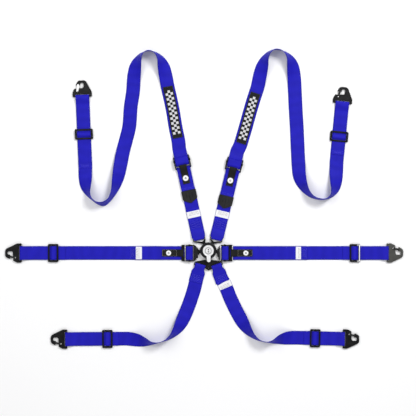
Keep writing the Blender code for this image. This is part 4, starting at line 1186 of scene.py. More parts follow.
CROTCH_PLANS = {
    Side.LEFT: CrotchPlan(math.radians(254.0), LoosePlan((-0.0300, -0.0565), (
        (-0.0480, -0.1260, 0), (-0.0610, -0.1700, 0), (-0.0780, -0.2170, -4), (-0.0950, -0.2560, -18),
        (-0.1110, -0.2850, -44), (-0.1300, -0.3080, -66), (-0.1530, -0.3240, -80), (-0.1790, -0.3330, -84),
        (-0.2050, -0.3360, -72), (-0.2320, -0.3320, -44), (-0.2600, -0.3260, -16),
    ), hook_straight=(-0.2950, -0.3215), hook_bar=(-0.5165, -0.3230), slider_back=0.1490,
        return_length=0.190), labelled=False),
    Side.RIGHT: CrotchPlan(math.radians(290.0), LoosePlan((0.0310, -0.0575), (
        (0.0610, -0.1260, 0), (0.0790, -0.1700, 0), (0.1010, -0.2170, 4), (0.1220, -0.2560, 18),
        (0.1400, -0.2850, 44), (0.1600, -0.3080, 66), (0.1830, -0.3240, 80), (0.2080, -0.3310, 84),
        (0.2340, -0.3300, 70), (0.2620, -0.3230, 40), (0.2880, -0.3190, 14),
    ), hook_straight=(0.3200, -0.3180), hook_bar=(0.4925, -0.3220), slider_back=0.1030,
        return_length=0.145), labelled=True),
}


# Sub-assemblies

@dataclass
class Buckle:
    """Round rotary buckle: back plate, housing, knob with its lever, and what is inside."""

    finishes: Finishes
    radius: float = 0.030
    wall: float = 0.003
    bottom: float = 0.0033
    top: float = 0.0168
    bore: float = 0.0043
    knob_radius: float = 0.020
    knob_bottom: float = 0.0171
    knob_top: float = 0.0256
    lever_angle: float = math.radians(-87.0)
    lever_reach: float = 0.0415
    lever_width: float = 0.014
    tongue_headings: tuple[float, ...] = field(default=(60.0, 120.0, 187.5, 270.0, 351.6))
    slot_half_width: float = 0.0063

    def build(self) -> None:
        """Builds and dresses the buckle."""
        self.build_housing()
        self.build_rivets()
        self.build_knob()
        self.build_lever()
        self.build_cap()
        self.dress_inside()

    def build_housing(self) -> None:
        """Housing with a shallow ring round the knob and a slot for each tongue."""
        profile = [
            (self.bore, self.top), (0.0212, self.top), (0.0216, self.top - 0.0004),
            (0.0216, self.top - 0.0010), (0.0228, self.top - 0.0010), (0.0228, self.top - 0.0004),
            (0.0232, self.top),
        ]
        profile += [(0.0278 + 0.0022 * math.sin(turn), self.top - 0.0022 + 0.0022 * math.cos(turn))
                    for turn in (math.radians(15.0 * step) for step in range(7))]
        profile += [
            (self.radius, self.bottom + 0.0006), (self.radius - 0.0006, self.bottom),
            (self.radius - self.wall, self.bottom), (self.radius - self.wall, self.top - self.wall),
            (self.bore, self.top - self.wall), (self.bore, self.top),
        ]
        housing = new_piece("buckle_housing_shell", spun(profile), self.finishes.gloss)
        levels = (TONGUE_BOTTOM - GAP, TONGUE_TOP + GAP)
        cutters = [self.slot_cutter(math.radians(heading), levels) for heading in self.tongue_headings]
        cut(housing, cutters)
        fitted(housing, "root", "plastic_black", "buckle_housing")

    def slot_cutter(self, heading: float, levels: tuple[float, float]) -> bmesh.types.BMesh:
        """Box through the housing's wall where a tongue goes in.

        Args:
            heading: the tongue's direction.
            levels: the slot's bottom and top.

        Returns:
            The box.
        """
        bm = bmesh.new()
        turn = Matrix.Rotation(heading, 4, "Z")
        place = Matrix.Translation((self.radius - self.wall / 2.0, 0.0, sum(levels) / 2.0))
        size = Matrix.Diagonal((self.wall + 0.008, 2.0 * self.slot_half_width, levels[1] - levels[0], 1.0))
        bmesh.ops.create_cube(bm, size=1.0, matrix=turn @ place @ size)
        return bm

    def build_rivets(self) -> None:
        """Four small round-headed rivets on the housing's shoulder."""
        bm = bmesh.new()
        for turn in (35.0, 145.0, 222.0, 318.0):
            spot = Vector((0.0255, 0.0, self.top - 0.0005))
            spot.rotate(Matrix.Rotation(math.radians(turn), 3, "Z"))
            squash = Matrix.Translation(spot) @ Matrix.Diagonal((1.0, 1.0, 0.5, 1.0))
            bmesh.ops.create_uvsphere(bm, u_segments=20, v_segments=12, radius=0.0012, matrix=squash)
        rivets = new_piece("buckle_housing_rivets", bm, self.finishes.satin, 60.0)
        fitted(rivets, "root", "steel_black")

    def build_knob(self) -> None:
        """Round alloy knob with a raised rim and a dished face."""
        low, top, radius = self.knob_bottom, self.knob_top, self.knob_radius
        profile = [
            (0.0095, low), (radius - 0.0006, low), (radius, low + 0.0006), (radius, top - 0.0012),
            (radius - 0.0003, top - 0.0005), (radius - 0.0010, top), (radius - 0.0022, top),
            (radius - 0.0028, top - 0.0003), (radius - 0.0034, top - 0.0007), (0.0145, top - 0.0009),
            (0.0131, top - 0.0009), (0.0128, top - 0.0012), (0.0095, top - 0.0012), (0.0095, low),
        ]
        knob = new_piece("buckle_knob_dial", spun(profile), self.finishes.alloy, 25.0)
        fitted(knob, "knob", "steel", "buckle_knob")

    def build_lever(self) -> None:
        """Finger lever running out from the knob, crowned and eased all round."""
        half = self.lever_width / 2.0
        bm = bmesh.new()
        bmesh.ops.create_circle(bm, segments=48, radius=half)
        start = [vert for vert in bm.verts if vert.co.x < 0.0]
        bmesh.ops.translate(bm, verts=bm.verts, vec=(self.lever_reach - half, 0.0, 0.0))
        for vert in start:
            vert.co.x = self.knob_radius - 0.0030
            vert.co.y *= 1.10
        bmesh.ops.contextual_create(bm, geom=list(bm.edges))
        grown = bmesh.ops.extrude_face_region(bm, geom=list(bm.faces))["geom"]
        raised = [item for item in grown if isinstance(item, bmesh.types.BMVert)]
        bmesh.ops.translate(bm, verts=raised, vec=(0.0, 0.0, self.knob_top - self.knob_bottom - 0.0012))
        bmesh.ops.recalc_face_normals(bm, faces=bm.faces)
        rims = [edge for edge in bm.edges if edge.calc_face_angle(0.0) > 1.0]
        bmesh.ops.bevel(bm, geom=rims, offset=0.0009, segments=3, profile=0.5, affect="EDGES", material=-1)
        turn = Matrix.Translation((0.0, 0.0, self.knob_bottom)) @ Matrix.Rotation(self.lever_angle, 4, "Z")
        bmesh.ops.transform(bm, matrix=turn, verts=bm.verts)
        lever = new_piece("buckle_lever", bm, self.finishes.alloy, 30.0)
        fitted(lever, "knob", "steel", "buckle_knob")

    def build_cap(self) -> None:
        """Bright cap with a dark ring and two small dark pins."""
        low, radius = self.knob_top + GAP, 0.0125
        top = low + 0.0015
        profile = [
            (0.0, low), (radius, low), (radius, top - 0.0004), (radius - 0.0004, top), (0.0118, top),
            (0.0115, top - 0.0004), (0.0103, top - 0.0004), (0.0100, top), (0.0, top),
        ]
        cap = new_piece("buckle_cap", spun(profile), self.finishes.alloy, 25.0)
        fitted(cap, "knob", "plastic_black", "buckle_knob_cap")
        profile = [
            (0.0104, top - 0.0004), (0.0114, top - 0.0004), (0.0114, top - 0.0002), (0.0104, top - 0.0002),
            (0.0104, top - 0.0004),
        ]
        ring = new_piece("buckle_cap_ring", spun(profile), self.finishes.satin)
        fitted(ring, "knob", "plastic_black")
        for index, y in enumerate((0.0038, -0.0038)):
            bm = disc(Vector((0.0004, y, top - 0.0002)), 0.0024, 0.0005, 24)
            fitted(new_piece(f"buckle_cap_pin_{index}", bm, self.finishes.plastic), "knob", "plastic_black")

    def dress_inside(self) -> None:
        """Finishes of the pieces that the housing hides, which keep their own shapes."""
        finishes = self.finishes
        plated("buckle_back_plate", finishes.satin, "root", "steel_black", 0.0004)
        dress("buckle_spindle", finishes.dull)
        dress("buckle_spring", finishes.bright)
        dress("buckle_lock_plate", finishes.dull)


def dress(node: str, finish: bpy.types.Material) -> None:
    """Gives a carried-over piece its finish.

    Args:
        node: the piece's node.
        finish: its material.
    """
    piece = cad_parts[node]
    if not piece.material_slots:
        piece.data.materials.append(finish)
    for slot in piece.material_slots:
        slot.link = "OBJECT"
        slot.material = finish
    LOG.info("%s dressed", node)


def cut(piece: bpy.types.Object, cutters: Sequence[bmesh.types.BMesh]) -> None:
    """Cuts shapes out of a piece for good.

    Args:
        piece: the piece.
        cutters: the shapes to take away.
    """
    made = []
    for index, bm in enumerate(cutters):
        mesh = bpy.data.meshes.new(f"{piece.name}_cutter_{index}")
        bm.to_mesh(mesh)
        bm.free()
        tool = bpy.data.objects.new(mesh.name, mesh)
        bpy.context.scene.collection.objects.link(tool)
        change = piece.modifiers.new(mesh.name, "BOOLEAN")
        change.operation = "DIFFERENCE"
        change.solver = "EXACT"
        change.object = tool
        made.append(tool)
    bpy.context.view_layer.update()
    evaluated = piece.evaluated_get(bpy.context.evaluated_depsgraph_get())
    result = bpy.data.meshes.new_from_object(evaluated)
    piece.modifiers.clear()
    piece.data = result
    for tool in made:
        bpy.data.objects.remove(tool, do_unlink=True)
    piece.data.shade_smooth()
    piece.data.set_sharp_from_angle(angle=math.radians(30.0))


@dataclass
class HookEnd:
    """Three-bar slider, its hump of webbing, the snap hook and its spring gate."""

    belt: Belt
    side: Side
    run: Run
    slider_back: float
    finishes: Finishes
    slider_bottom: float = 2.0 * ROW_PITCH
    centre_bar: float = 0.008

    @property
    def prefix(self) -> str:
        """Start of these pieces' names."""
        return f"{self.belt.value}_{self.side.value}"

    def build(self) -> None:
        """Builds and dresses the end fittings."""
        prefix, finishes = self.prefix, self.finishes
        plated(f"{prefix}_slider", finishes.coated, f"{prefix}_slider", "steel_black", 0.0007, 3)
        grey = self.belt is Belt.LAP and self.side is Side.RIGHT
        hook = finishes.grey if grey else finishes.coated
        plated(f"{prefix}_hook", hook, f"{prefix}_hook", "steel_black", 0.0006, 3)
        if grey:
            self.build_bright_edge()
        plain = self.belt is Belt.SHOULDER and self.side is Side.LEFT
        gate, slot = (finishes.bright, "steel") if plain else (finishes.satin, "steel_black")
        plated(f"{prefix}_gate", gate, f"{prefix}_gate", slot, 0.0003)
        self.build_hump()
        self.build_gate_rivet()

    def build_hump(self) -> None:
        """Webbing that shows over the slider's centre bar."""
        run = self.run.moved(-self.slider_back)
        top = self.slider_bottom + PLATE_THICKNESS + GAP + FACE_LIFT
        near = self.centre_bar / 2.0
        profile = [(-near - 0.0055, self.slider_bottom + 0.001)]
        profile += slope((-near - 0.0048, self.slider_bottom + 0.0014), (-near + 0.0002, top), 6)
        profile += slope((near - 0.0002, top), (near + 0.0048, self.slider_bottom + 0.0014), 6)
        profile.append((near + 0.0055, self.slider_bottom + 0.001))
        hump = Ribbon(f"{self.prefix}_slider_hump", run.sections(spread(profile, 0.002)))
        slider = f"{self.prefix}_slider"
        hump.build_cloth(self.finishes.blue, slider, "webbing_blue", f"{slider}_webbing")

    def build_bright_edge(self) -> None:
        """Bright worn face of the slider's outer bar and of the ends of its sides."""
        level = self.slider_bottom + 0.0032
        boxes = [
            (0.0165, 0.0, level, 0.0034, 0.0560, BRIGHT_STRIP_HEIGHT),
            (0.0128, 0.0292, level, 0.0100, 0.0026, BRIGHT_STRIP_HEIGHT),
            (0.0128, -0.0292, level, 0.0100, 0.0026, BRIGHT_STRIP_HEIGHT),
        ]
        bm = eased_boxes(self.run.moved(-self.slider_back), boxes, 0.0002)
        edge = new_piece(f"{self.prefix}_slider_bright_edge", bm, self.finishes.alloy, 40.0)
        fitted(edge, f"{self.prefix}_slider", "steel_black")

    def build_gate_rivet(self) -> None:
        """Domed head of the gate's pivot pin."""
        bm = bmesh.new()
        pivot = self.run.at(0.020, 0.017, HOOK_BAR_LEVEL + 0.0032)
        squash = Matrix.Translation(pivot) @ Matrix.Diagonal((1.0, 1.0, 0.45, 1.0))
        bmesh.ops.create_uvsphere(bm, u_segments=24, v_segments=12, radius=0.0021, matrix=squash)
        rivet = new_piece(f"{self.prefix}_gate_rivet", bm, self.finishes.dull, 60.0)
        fitted(rivet, f"{self.prefix}_gate", "steel")


@dataclass
class LockBar:
    """Sliding bar that bites the webbing, with a squared block at each end."""

    node: str
    run: Run
    plate_bottom: float
    finishes: Finishes
    half_length: float = 0.0315
    lift: float = 0.0058

    def build(self) -> None:
        """Builds the bar and its two end blocks."""
        plated(self.node, self.finishes.satin, self.node, "steel", 0.0012, 3)
        out, level = self.half_length - 0.0016, self.plate_bottom + self.lift
        boxes = [(0.0, side * out, level, 0.0092, 0.0024, 0.0050) for side in (-1.0, 1.0)]
        bm = eased_boxes(self.run, boxes, 0.0008, 3)
        ends = new_piece(f"{self.node}_ends", bm, self.finishes.satin, 40.0)
        fitted(ends, self.node, "steel")


@dataclass
class RoundBadge:
    """Plain pale dot with a small dark ring in its middle, on a release tab."""

    name: str
    spot: Vector
    body: str
    finishes: Finishes
    radius: float = 0.0092
    height: float = 0.0005

    def build(self) -> None:
        """Builds the pale disc and the dark ring in it."""
        dot = disc(self.spot, self.radius, self.height, 48)
        pale = new_piece(f"{self.name}_dot", dot, self.finishes.ink)
        fitted(pale, self.body, "plastic_black")
        bm = spun([(0.0016, 0.0), (0.0032, 0.0), (0.0032, 0.00015), (0.0016, 0.00015), (0.0016, 0.0)], 40)
        bmesh.ops.translate(bm, verts=bm.verts, vec=self.spot + UP * (self.height - 0.00005))
        ring = new_piece(f"{self.name}_ring", bm, self.finishes.plastic)
        fitted(ring, self.body, "plastic_black")


def build_label(
    name: str, sections: list[Section], body: str, finishes: Finishes, width: float,
) -> None:
    """White label with a sewn border.

    Args:
        name: the label's name.
        sections: where it lies, just above the webbing.
        body: the body it rides on.
        finishes: the harness's finishes.
        width: its width across the strap.
    """
    strip = Ribbon(name, sections, width, thickness=0.0004, columns=6, round_edge=0.0001)
    label = fitted(strip.build(finishes.label), body, "plastic_black")
    strip.flat()
    bm = bmesh.new()
    for side in (-1.0, 1.0):
        edge = side * (width / 2.0 - 0.0012)
        stitch_row(bm, [centre + across * edge + UP * 0.0003 for centre, across in sections])
    sew(f"{name}_stitches", bm, finishes.ink, body, "plastic_black")


@dataclass
class LapBelt:
    """One lap strap with its pull-up adjuster, release tab, label and end fittings."""

    side: Side
    plan: LapPlan
    finishes: Finishes
    plate_bottom: float = TONGUE_BOTTOM
    window_outer: float = 0.0133
    frame_end: float = 0.0295
    tab_width: float = 0.026
    tab_thickness: float = 0.0016
    tab_length: float = 0.071

    @property
    def prefix(self) -> str:
        """Start of this strap's names."""
        return f"lap_{self.side.value}"

    @property
    def body(self) -> str:
        """Body that the strap rides on."""
        return "root" if self.side is Side.LEFT else "lap_right"

    @property
    def run(self) -> Run:
        """Run from the lock bar outward."""
        return Run(self.plan.adjuster, self.plan.level_y, math.pi if self.side is Side.LEFT else 0.0)

    @property
    def hook_reach(self) -> float:
        """Distance from the lock bar to the snap hook's bar."""
        return abs(self.plan.hook_bar - self.plan.adjuster)

    @property
    def slider_back(self) -> float:
        """Distance from the snap hook's bar back to the slider."""
        return abs(self.plan.hook_bar - self.plan.slider)

    def build(self) -> None:
        """Builds and dresses the whole strap."""
        self.build_strap()
        plated(f"{self.prefix}_adjuster", self.finishes.coated, self.body, "steel_black", 0.0006, 3)
        LockBar(f"{self.prefix}_lock_bar", self.run, self.plate_bottom, self.finishes).build()
        self.build_cover()
        self.build_bright_bars()
        self.build_tab()
        self.build_tail_label()
        hook_run = self.run.moved(self.hook_reach)
        HookEnd(Belt.LAP, self.side, hook_run, self.slider_back, self.finishes).build()

    def build_strap(self) -> None:
        """Webbing from its free end, over the lock bar, out to the hook and back towards the buckle."""
        plan = self.plan
        wrap = LockBarWrap(self.plate_bottom, LAYER_2)
        radius = (wrap.crest - LAYER_1) / 2.0
        profile = [(abs(plan.tail_end - plan.adjuster), LAYER_2)] + wrap.profile()
        profile += arc((-wrap.reach + radius, LAYER_1 + radius), radius, 90.0, 270.0)
        profile += hook_turn(self.hook_reach, self.slider_back + plan.past_slider)
        strip = Ribbon(f"{self.prefix}_webbing", self.run.sections(spread(profile)))
        strip.build_cloth(
            self.finishes.blue, self.body, "webbing_blue", f"{self.prefix}_strap",
        )

    def build_cover(self) -> None:
        """Moulded blocks over the adjuster's inner end, stepping down in width to the buckle."""
        foot = self.plate_bottom + PLATE_THICKNESS - 0.0010
        blocks = [(-0.0200, 0.0480, 0.0100, 0.0046), (-0.0275, 0.0380, 0.0080, 0.0042)]
        if self.side is Side.RIGHT:
            blocks = [(-0.0210, 0.0470, 0.0060, 0.0046), (-0.0257, 0.0280, 0.0052, 0.0042)]
        boxes = [(u, 0.0, foot + height / 2.0, depth, width, height) for u, width, depth, height in blocks]
        bm = eased_boxes(self.run, boxes, 0.0013, 3)
        block = new_piece(f"{self.prefix}_adjuster_cover", bm, self.finishes.gloss, 35.0)
        fitted(block, self.body, "plastic_black")

    def build_bright_bars(self) -> None:
        """Thin bright strips along the adjuster's bars: worn bare metal, and a painted edge highlight."""
        level = self.plate_bottom + PLATE_THICKNESS + 0.0003
        places = [(self.window_outer + 0.0022, level)]
        if self.side is Side.RIGHT:
            places = [(self.frame_end - 0.0022, level), (-0.0172, level + 0.0036)]
        for index, (u, height) in enumerate(places):
            bm = eased_boxes(self.run, [(u, 0.0, height, 0.0026, 0.0560, 0.0010)], 0.0004)
            strip = new_piece(f"{self.prefix}_bright_bar_{index}", bm, self.finishes.dull, 40.0)
            fitted(strip, self.body, "steel")

    def build_tab(self) -> None:
        """Release tab looped through the adjuster's outer slot, with edge stitching and a badge."""
        thickness = self.tab_thickness
        level = LAYER_2 + FACE_LIFT + GAP + thickness / 2.0
        over = self.plate_bottom + PLATE_THICKNESS + 2.0 * GAP + thickness / 2.0
        upright = 0.0230 - 2.0 * GAP - thickness / 2.0
        end = self.frame_end
        profile = [(upright, self.plate_bottom + thickness / 2.0), (upright, over - 0.001)]
        profile += arc((upright + 0.001, over - 0.001), 0.001, 180.0, 90.0, 6)
        profile += slope((end + 0.001, over), (end + 0.016, level)) + [(end + self.tab_length, level)]
        sections = self.run.sections(spread(profile, 0.006))
        strip = Ribbon(
            f"{self.prefix}_tab", sections, self.tab_width, thickness, columns=6, round_edge=0.0005,
        )
        strip.build_cloth(
            self.finishes.black, self.body, "webbing_black", f"{self.prefix}_release_tab",
        )
        face = level + thickness / 2.0 + 0.0002
        reach = (end + 0.018, end + self.tab_length - 0.002)
        bm = outline_stitch(self.run, reach, self.tab_width / 2.0 - 0.0020, face)
        sew(f"{self.prefix}_tab_stitches", bm, self.finishes.cream_thread, self.body, "webbing_black")
        spot = self.run.at(self.plan.disc, 0.0, face - 0.0002)
        RoundBadge(f"{self.prefix}_badge", spot, self.body, self.finishes).build()

    def build_tail_label(self) -> None:
        """Label near the strap's free end, and the stitches past it."""
        start, end = self.plan.label, self.plan.label + self.plan.label_length
        level = LAYER_2 + FACE_LIFT + 0.0003
        sections = self.run.sections(spread([(start, level), (end, level)], 0.004))
        build_label(
            f"{self.prefix}_label", sections, self.body, self.finishes,
            LAP_LABEL_WIDTH,
        )
        bm = box_stitch(self.run, (end + 0.003, end + 0.020), 0.019, level)
        sew(f"{self.prefix}_tail_stitches", bm, self.finishes.blue_thread, self.body, "webbing_blue")


@dataclass
class ShoulderBelt:
    """One shoulder harness: tongue, lower strap, adjuster, upper strap, patch and end fittings."""

    side: Side
    plan: ShoulderPlan
    finishes: Finishes
    plate_bottom: float = SHOULDER_ADJUSTER_BOTTOM
    lower_bar_outer: float = -0.0245
    lower_bar_depth: float = 0.0055
    pull_bar_at: float = -0.020
    tab_width: float = 0.026
    tab_thickness: float = 0.0016
    tab_length: float = 0.066
    patch_width: float = 0.037
    patch_length: float = 0.192
    patch_thickness: float = 0.0014

    @property
    def prefix(self) -> str:
        """Start of this harness's names."""
        return f"shoulder_{self.side.value}"

    @property
    def body(self) -> str:
        """Body that the straps ride on."""
        return self.prefix

    @property
    def lower_run(self) -> Run:
        """Run from the tongue's bar to the adjuster."""
        return run_between(self.plan.loose.start, self.plan.adjuster)

    @property
    def lock_run(self) -> Run:
        """The same run with its origin on the lock bar."""
        return Run(self.plan.adjuster[0], self.plan.adjuster[1], self.lower_run.angle)

    @property
    def loop_radius(self) -> float:
        """Radius of the lower strap's loop round the adjuster's lower bar."""
        return (self.plate_bottom + PLATE_THICKNESS + GAP + FACE_LIFT - LAYER_1) / 2.0

    def build(self) -> None:
        """Builds and dresses the whole shoulder harness."""
        plated(f"{self.prefix}_tongue", self.finishes.coated, self.body, "steel_black", 0.0006, 3)
        plated(f"{self.prefix}_adjuster", self.finishes.coated, self.body, "steel_black", 0.0006, 3)
        LockBar(f"{self.prefix}_lock_bar", self.lock_run, self.plate_bottom, self.finishes).build()
        self.build_lower_strap()
        self.build_upper_strap()
        self.build_patch()
        self.build_tab()
        self.build_bar_edges()
        self.build_pull_tab()
        loose = self.plan.loose
        HookEnd(Belt.SHOULDER, self.side, loose.hook_run, loose.slider_back, self.finishes).build()

    def build_lower_strap(self) -> None:
        """Lower strap, sewn round the tongue's bar and the adjuster's lower bar."""
        run, plan = self.lower_run, self.plan
        lock = (Vector(plan.adjuster) - Vector(plan.loose.start)).length
        bar = lock + self.lower_bar_outer
        radius = self.loop_radius
        start = bar - self.lower_bar_depth - 0.001
        profile = bar_turn(plan.seam) + arc((bar + 0.0002, LAYER_1 + radius), radius, -90.0, 90.0)
        profile += slope((start, LAYER_1 + 2.0 * radius), (start - 0.015, LAYER_2))
        profile.append((plan.seam + 0.001, LAYER_2))
        fold = Fold(start=-0.0035, end=0.005)
        strip = Ribbon(f"{self.prefix}_lower_webbing", run.sections(spread(profile), fold))
        strip.build_cloth(
            self.finishes.blue, self.body, "webbing_blue", f"{self.prefix}_lower_strap",
        )
        face = LAYER_2 + FACE_LIFT + 0.0002
        bm = box_stitch(run, (0.038, 0.068), 0.018, face)
        sew(f"{self.prefix}_lower_stitches", bm, self.finishes.blue_thread, self.body, "webbing_blue")
        sections = run.sections(spread([(0.0765, face + 0.0002), (0.1005, face + 0.0002)], 0.004))
        build_label(
            f"{self.prefix}_label", sections, self.body, self.finishes,
            LOOSE_LABEL_WIDTH,
        )

    def build_upper_strap(self) -> None:
        """Upper strap from its pull tab, over the lock bar, round the arches to the hook."""
        run, loose = self.lock_run, self.plan.loose
        wrap = LockBarWrap(self.plate_bottom, LAYER_1)
        over_loop = LAYER_1 + 2.0 * self.loop_radius + ROW_PITCH
        near = self.lower_bar_outer - self.lower_bar_depth
        profile = [(-self.plan.tail, LAYER_3)] + slope((near - 0.016, LAYER_3), (near - 0.001, over_loop))
        over_bar = self.plate_bottom + PLATE_THICKNESS + GAP + FACE_LIFT
        profile += slope((-0.019, over_loop), (-0.008, wrap.crest))
        profile += slope((0.0100, wrap.crest), (0.0165, over_bar))
        profile += slope((0.0195, over_bar), (0.0420, LAYER_1))
        sections = run.sections(spread(profile)) + loose.curve(run) + loose.end()
        strip = Ribbon(f"{self.prefix}_upper_webbing", sections)
        strip.build_cloth(
            self.finishes.blue, self.body, "webbing_blue", f"{self.prefix}_upper_strap",
        )
        rear = -loose.return_length
        reach = (rear + 0.002, rear + 0.014)
        bm = box_stitch(loose.hook_run, reach, 0.019, LAYER_2 + FACE_LIFT - 0.0001)
        sew(f"{self.prefix}_return_stitches", bm, self.finishes.blue_thread, self.body, "webbing_blue")

    def build_patch(self) -> None:
        """Woven patch on the strap's face above the adjuster, sewn round its border."""
        start = self.plan.patch_start - ROUTE_START
        route = self.plan.loose.curve(self.lock_run)
        lift = FACE_LIFT + GAP + self.patch_thickness / 2.0
        sections = portion(route, start, self.patch_length, lift)
        strip = Ribbon(
            f"{self.prefix}_woven_patch", sections, self.patch_width, self.patch_thickness, columns=6,
            round_edge=0.0004,
        )
        patch = strip.build_cloth(
            self.finishes.patch, self.body, "webbing_black", f"{self.prefix}_patch",
        )
        LOG.info("%s is %.3f m long", patch.name, strip.flat()[1])
        bm = bmesh.new()
        edge = self.patch_width / 2.0 - 0.0018
        rows = portion(route, start + 0.002, self.patch_length - 0.004, lift + 0.0008)
        left = [centre + across * edge for centre, across in rows]
        right = [centre - across * edge for centre, across in rows]
        stitch_row(bm, left)
        stitch_row(bm, right)
        stitch_row(bm, [left[0], right[0]])
        stitch_row(bm, [left[-1], right[-1]])
        sew(f"{self.prefix}_patch_stitches", bm, self.finishes.black_thread, self.body, "webbing_black")

    def build_tab(self) -> None:
        """Release tab sewn on the adjuster's pull bar."""
        run, thickness = self.lock_run, self.tab_thickness
        pull_bottom = self.plate_bottom + 0.0115
        over = pull_bottom + PLATE_THICKNESS + thickness / 2.0
        level = LAYER_3 + FACE_LIFT + GAP + thickness / 2.0
        front = self.pull_bar_at + 0.002 + GAP + thickness
        profile = [(front, pull_bottom)] + arc((front - 0.0015, over - 0.0015), 0.0015, 0.0, 90.0, 6)
        profile += slope((self.pull_bar_at - 0.0025, over), (self.pull_bar_at - 0.032, level))
        profile.append((self.pull_bar_at - self.tab_length, level))
        sections = run.sections(spread(profile, 0.006))
        strip = Ribbon(
            f"{self.prefix}_tab", sections, self.tab_width, thickness, columns=6, round_edge=0.0005,
        )
        strip.build_cloth(
            self.finishes.black, self.body, "webbing_black", f"{self.prefix}_release_tab",
        )
        face = level + thickness / 2.0 + 0.0002
        reach = (self.pull_bar_at - 0.034, self.pull_bar_at - self.tab_length + 0.002)
        bm = outline_stitch(run, reach, self.tab_width / 2.0 - 0.0020, face)
        sew(f"{self.prefix}_tab_stitches", bm, self.finishes.black_thread, self.body, "webbing_black")
        spot = run.at(-0.0655, 0.0, face - 0.0002)
        RoundBadge(f"{self.prefix}_badge", spot, self.body, self.finishes, 0.0102).build()

    def build_bar_edges(self) -> None:
        """Bright strips on the pull bar's edges, on both sides of the release tab: worn bare metal, and a
        painted edge highlight.
        """
        u, level = self.pull_bar_at - 0.0004, self.plate_bottom + 0.0142
        boxes = [(u, side * 0.0205, level, 0.0008, 0.0130, BRIGHT_STRIP_HEIGHT) for side in (-1.0, 1.0)]
        bm = eased_boxes(self.lock_run, boxes, 0.0002)
        edges = new_piece(f"{self.prefix}_pull_bar_edges", bm, self.finishes.dull, 40.0)
        fitted(edges, self.body, "steel_black")

    def build_pull_tab(self) -> None:
        """Glossy pull tab with a rounded point and a raised spine down its middle."""
        run = self.lock_run
        bottom = LAYER_2 + FACE_LIFT + GAP
        plated(f"{self.prefix}_pull_tab", self.finishes.rubber, self.body, "plastic_black", 0.0011, 4)
        near = -self.plan.tail - GAP
        bm = bmesh.new()
        turn = Matrix.Rotation(run.angle, 4, "Z")
        for v, length, width in ((0.0, 0.034, 0.0045), (0.0105, 0.022, 0.0030), (-0.0105, 0.022, 0.0030)):
            place = Matrix.Translation(run.at(near - 0.006 - length / 2.0, v, bottom + 0.0035)) @ turn
            size = Matrix.Diagonal((length, width, 0.0014, 1.0))
            bmesh.ops.create_uvsphere(bm, u_segments=32, v_segments=16, radius=0.5, matrix=place @ size)
        ribs = new_piece(f"{self.prefix}_pull_tab_ribs", bm, self.finishes.gloss, 80.0)
        fitted(ribs, self.body, "plastic_black")
        seam = bmesh.new()
        half = WEBBING_WIDTH / 2.0 - 0.004
        level = LAYER_3 + FACE_LIFT + 0.0002
        for u in (-self.plan.tail + 0.004, -self.plan.tail + 0.0085):
            stitch_row(seam, [run.at(u, -half, level), run.at(u, half, level)])
        sew(f"{self.prefix}_tail_stitches", seam, self.finishes.blue_thread, self.body, "webbing_blue")


@dataclass
class CrotchBelt:
    """One crotch strap, sewn round the bracket's bar, with its end fittings."""

    side: Side
    plan: CrotchPlan
    finishes: Finishes

    @property
    def prefix(self) -> str:
        """Start of this strap's names."""
        return f"crotch_{self.side.value}"

    @property
    def run(self) -> Run:
        """Run from the bracket's bar."""
        return Run(self.plan.loose.start[0], self.plan.loose.start[1], self.plan.heading)

    def build(self) -> None:
        """Builds and dresses the strap."""
        run, loose, fold = self.run, self.plan.loose, Fold()
        profile = bar_turn(self.plan.sewn_end) + [(fold.start, LAYER_1), (fold.end, LAYER_1)]
        sections = run.sections(spread(profile), fold) + run.sections([(STRAIGHT_END, LAYER_1)])
        route = loose.curve(run)
        strip = Ribbon(f"{self.prefix}_webbing", sections + route + loose.end())
        strip.build_cloth(
            self.finishes.blue, "crotch", "webbing_blue", f"{self.prefix}_strap",
        )
        bm = box_stitch(run, (0.036, 0.059), 0.018, LAYER_2 + FACE_LIFT + 0.0002)
        sew(f"{self.prefix}_stitches", bm, self.finishes.blue_thread, "crotch", "webbing_blue")
        if self.plan.labelled:
            sections = portion(route, 0.064 - ROUTE_START, 0.022, FACE_LIFT + 0.0004)
            build_label(
                f"{self.prefix}_label", sections, "crotch", self.finishes,
                LOOSE_LABEL_WIDTH,
            )
        HookEnd(Belt.CROTCH, self.side, loose.hook_run, loose.slider_back, self.finishes).build()


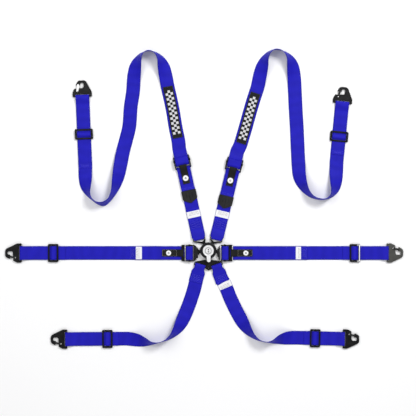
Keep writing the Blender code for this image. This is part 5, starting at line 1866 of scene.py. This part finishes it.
@dataclass(frozen=True)
class Studio:
    """Pale floor, soft lights and the camera straight above."""

    width: float = 1.518
    aim: tuple[float, float] = (-0.001, 0.155)
    height: float = 4.0
    sensor: float = 36.0
    floor_colour: tuple[float, float, float] = (0.86, 0.86, 0.865)

    def build(self) -> None:
        """Builds the whole studio."""
        bpy.context.scene.view_settings.view_transform = "Standard"
        self.build_floor()
        self.build_light("key_light", (1.6, 2.1, 3.2), 1.4, 110.0)
        self.build_light("fill_light", (-1.9, 1.4, 3.0), 2.6, 55.0)
        self.build_light("low_light", (0.3, -2.4, 3.0), 2.6, 40.0)
        world = bpy.data.worlds.new("studio_world")
        world.use_nodes = True
        world.node_tree.nodes["Background"].inputs["Color"].default_value = (1.0, 1.0, 1.0, 1.0)
        world.node_tree.nodes["Background"].inputs["Strength"].default_value = 0.30
        bpy.context.scene.world = world
        self.build_camera()

    def build_floor(self) -> None:
        """Matte white sheet under everything."""
        bm = bmesh.new()
        bmesh.ops.create_grid(bm, x_segments=1, y_segments=1, size=9.0)
        bmesh.ops.translate(bm, verts=bm.verts, vec=(0.0, 0.0, -0.0004))
        tree = Tree("white_floor")
        cloud = tree.noise(tree.place(uv=False), 3.0, 2.0)
        dim = tuple(channel * 0.99 for channel in self.floor_colour)
        tree.set(Base_Color=tree.mix(cloud, rgba(dim), rgba(self.floor_colour)), Roughness=0.85)
        new_piece("studio_floor", bm, tree.material)

    def build_light(self, name: str, place: tuple[float, float, float], size: float, power: float) -> None:
        """Large soft area light turned to the harness.

        Args:
            name: its name.
            place: where it stands.
            size: how wide it is.
            power: how bright it is.
        """
        lamp = bpy.data.lights.new(name, "AREA")
        lamp.shape = "DISK"
        lamp.size = size
        lamp.energy = power
        made = bpy.data.objects.new(name, lamp)
        made.location = place
        aim = Vector((self.aim[0], self.aim[1], 0.0)) - Vector(place)
        made.rotation_euler = aim.to_track_quat("-Z", "Y").to_euler()
        bpy.context.scene.collection.objects.link(made)

    def build_camera(self) -> None:
        """Camera straight above the middle of the harness."""
        camera = bpy.data.cameras.new("studio_camera")
        camera.sensor_width = self.sensor
        camera.lens = self.sensor * self.height / self.width
        camera.clip_end = 50.0
        made = bpy.data.objects.new("studio_camera", camera)
        made.location = (self.aim[0], self.aim[1], self.height)
        bpy.context.scene.collection.objects.link(made)
        bpy.context.scene.camera = made


def main() -> None:
    """Builds every sub-assembly in order, then the studio."""
    logging.basicConfig(level=logging.INFO, format="%(message)s")
    finishes = Finishes()
    Buckle(finishes).build()
    plated("crotch_bracket", finishes.coated, "crotch", "steel_black", 0.0006, 3)
    for side in Side:
        LapBelt(side, LAP_PLANS[side], finishes).build()
        ShoulderBelt(side, SHOULDER_PLANS[side], finishes).build()
        CrotchBelt(side, CROTCH_PLANS[side], finishes).build()
    Studio().build()


if __name__ == "__main__":
    main()
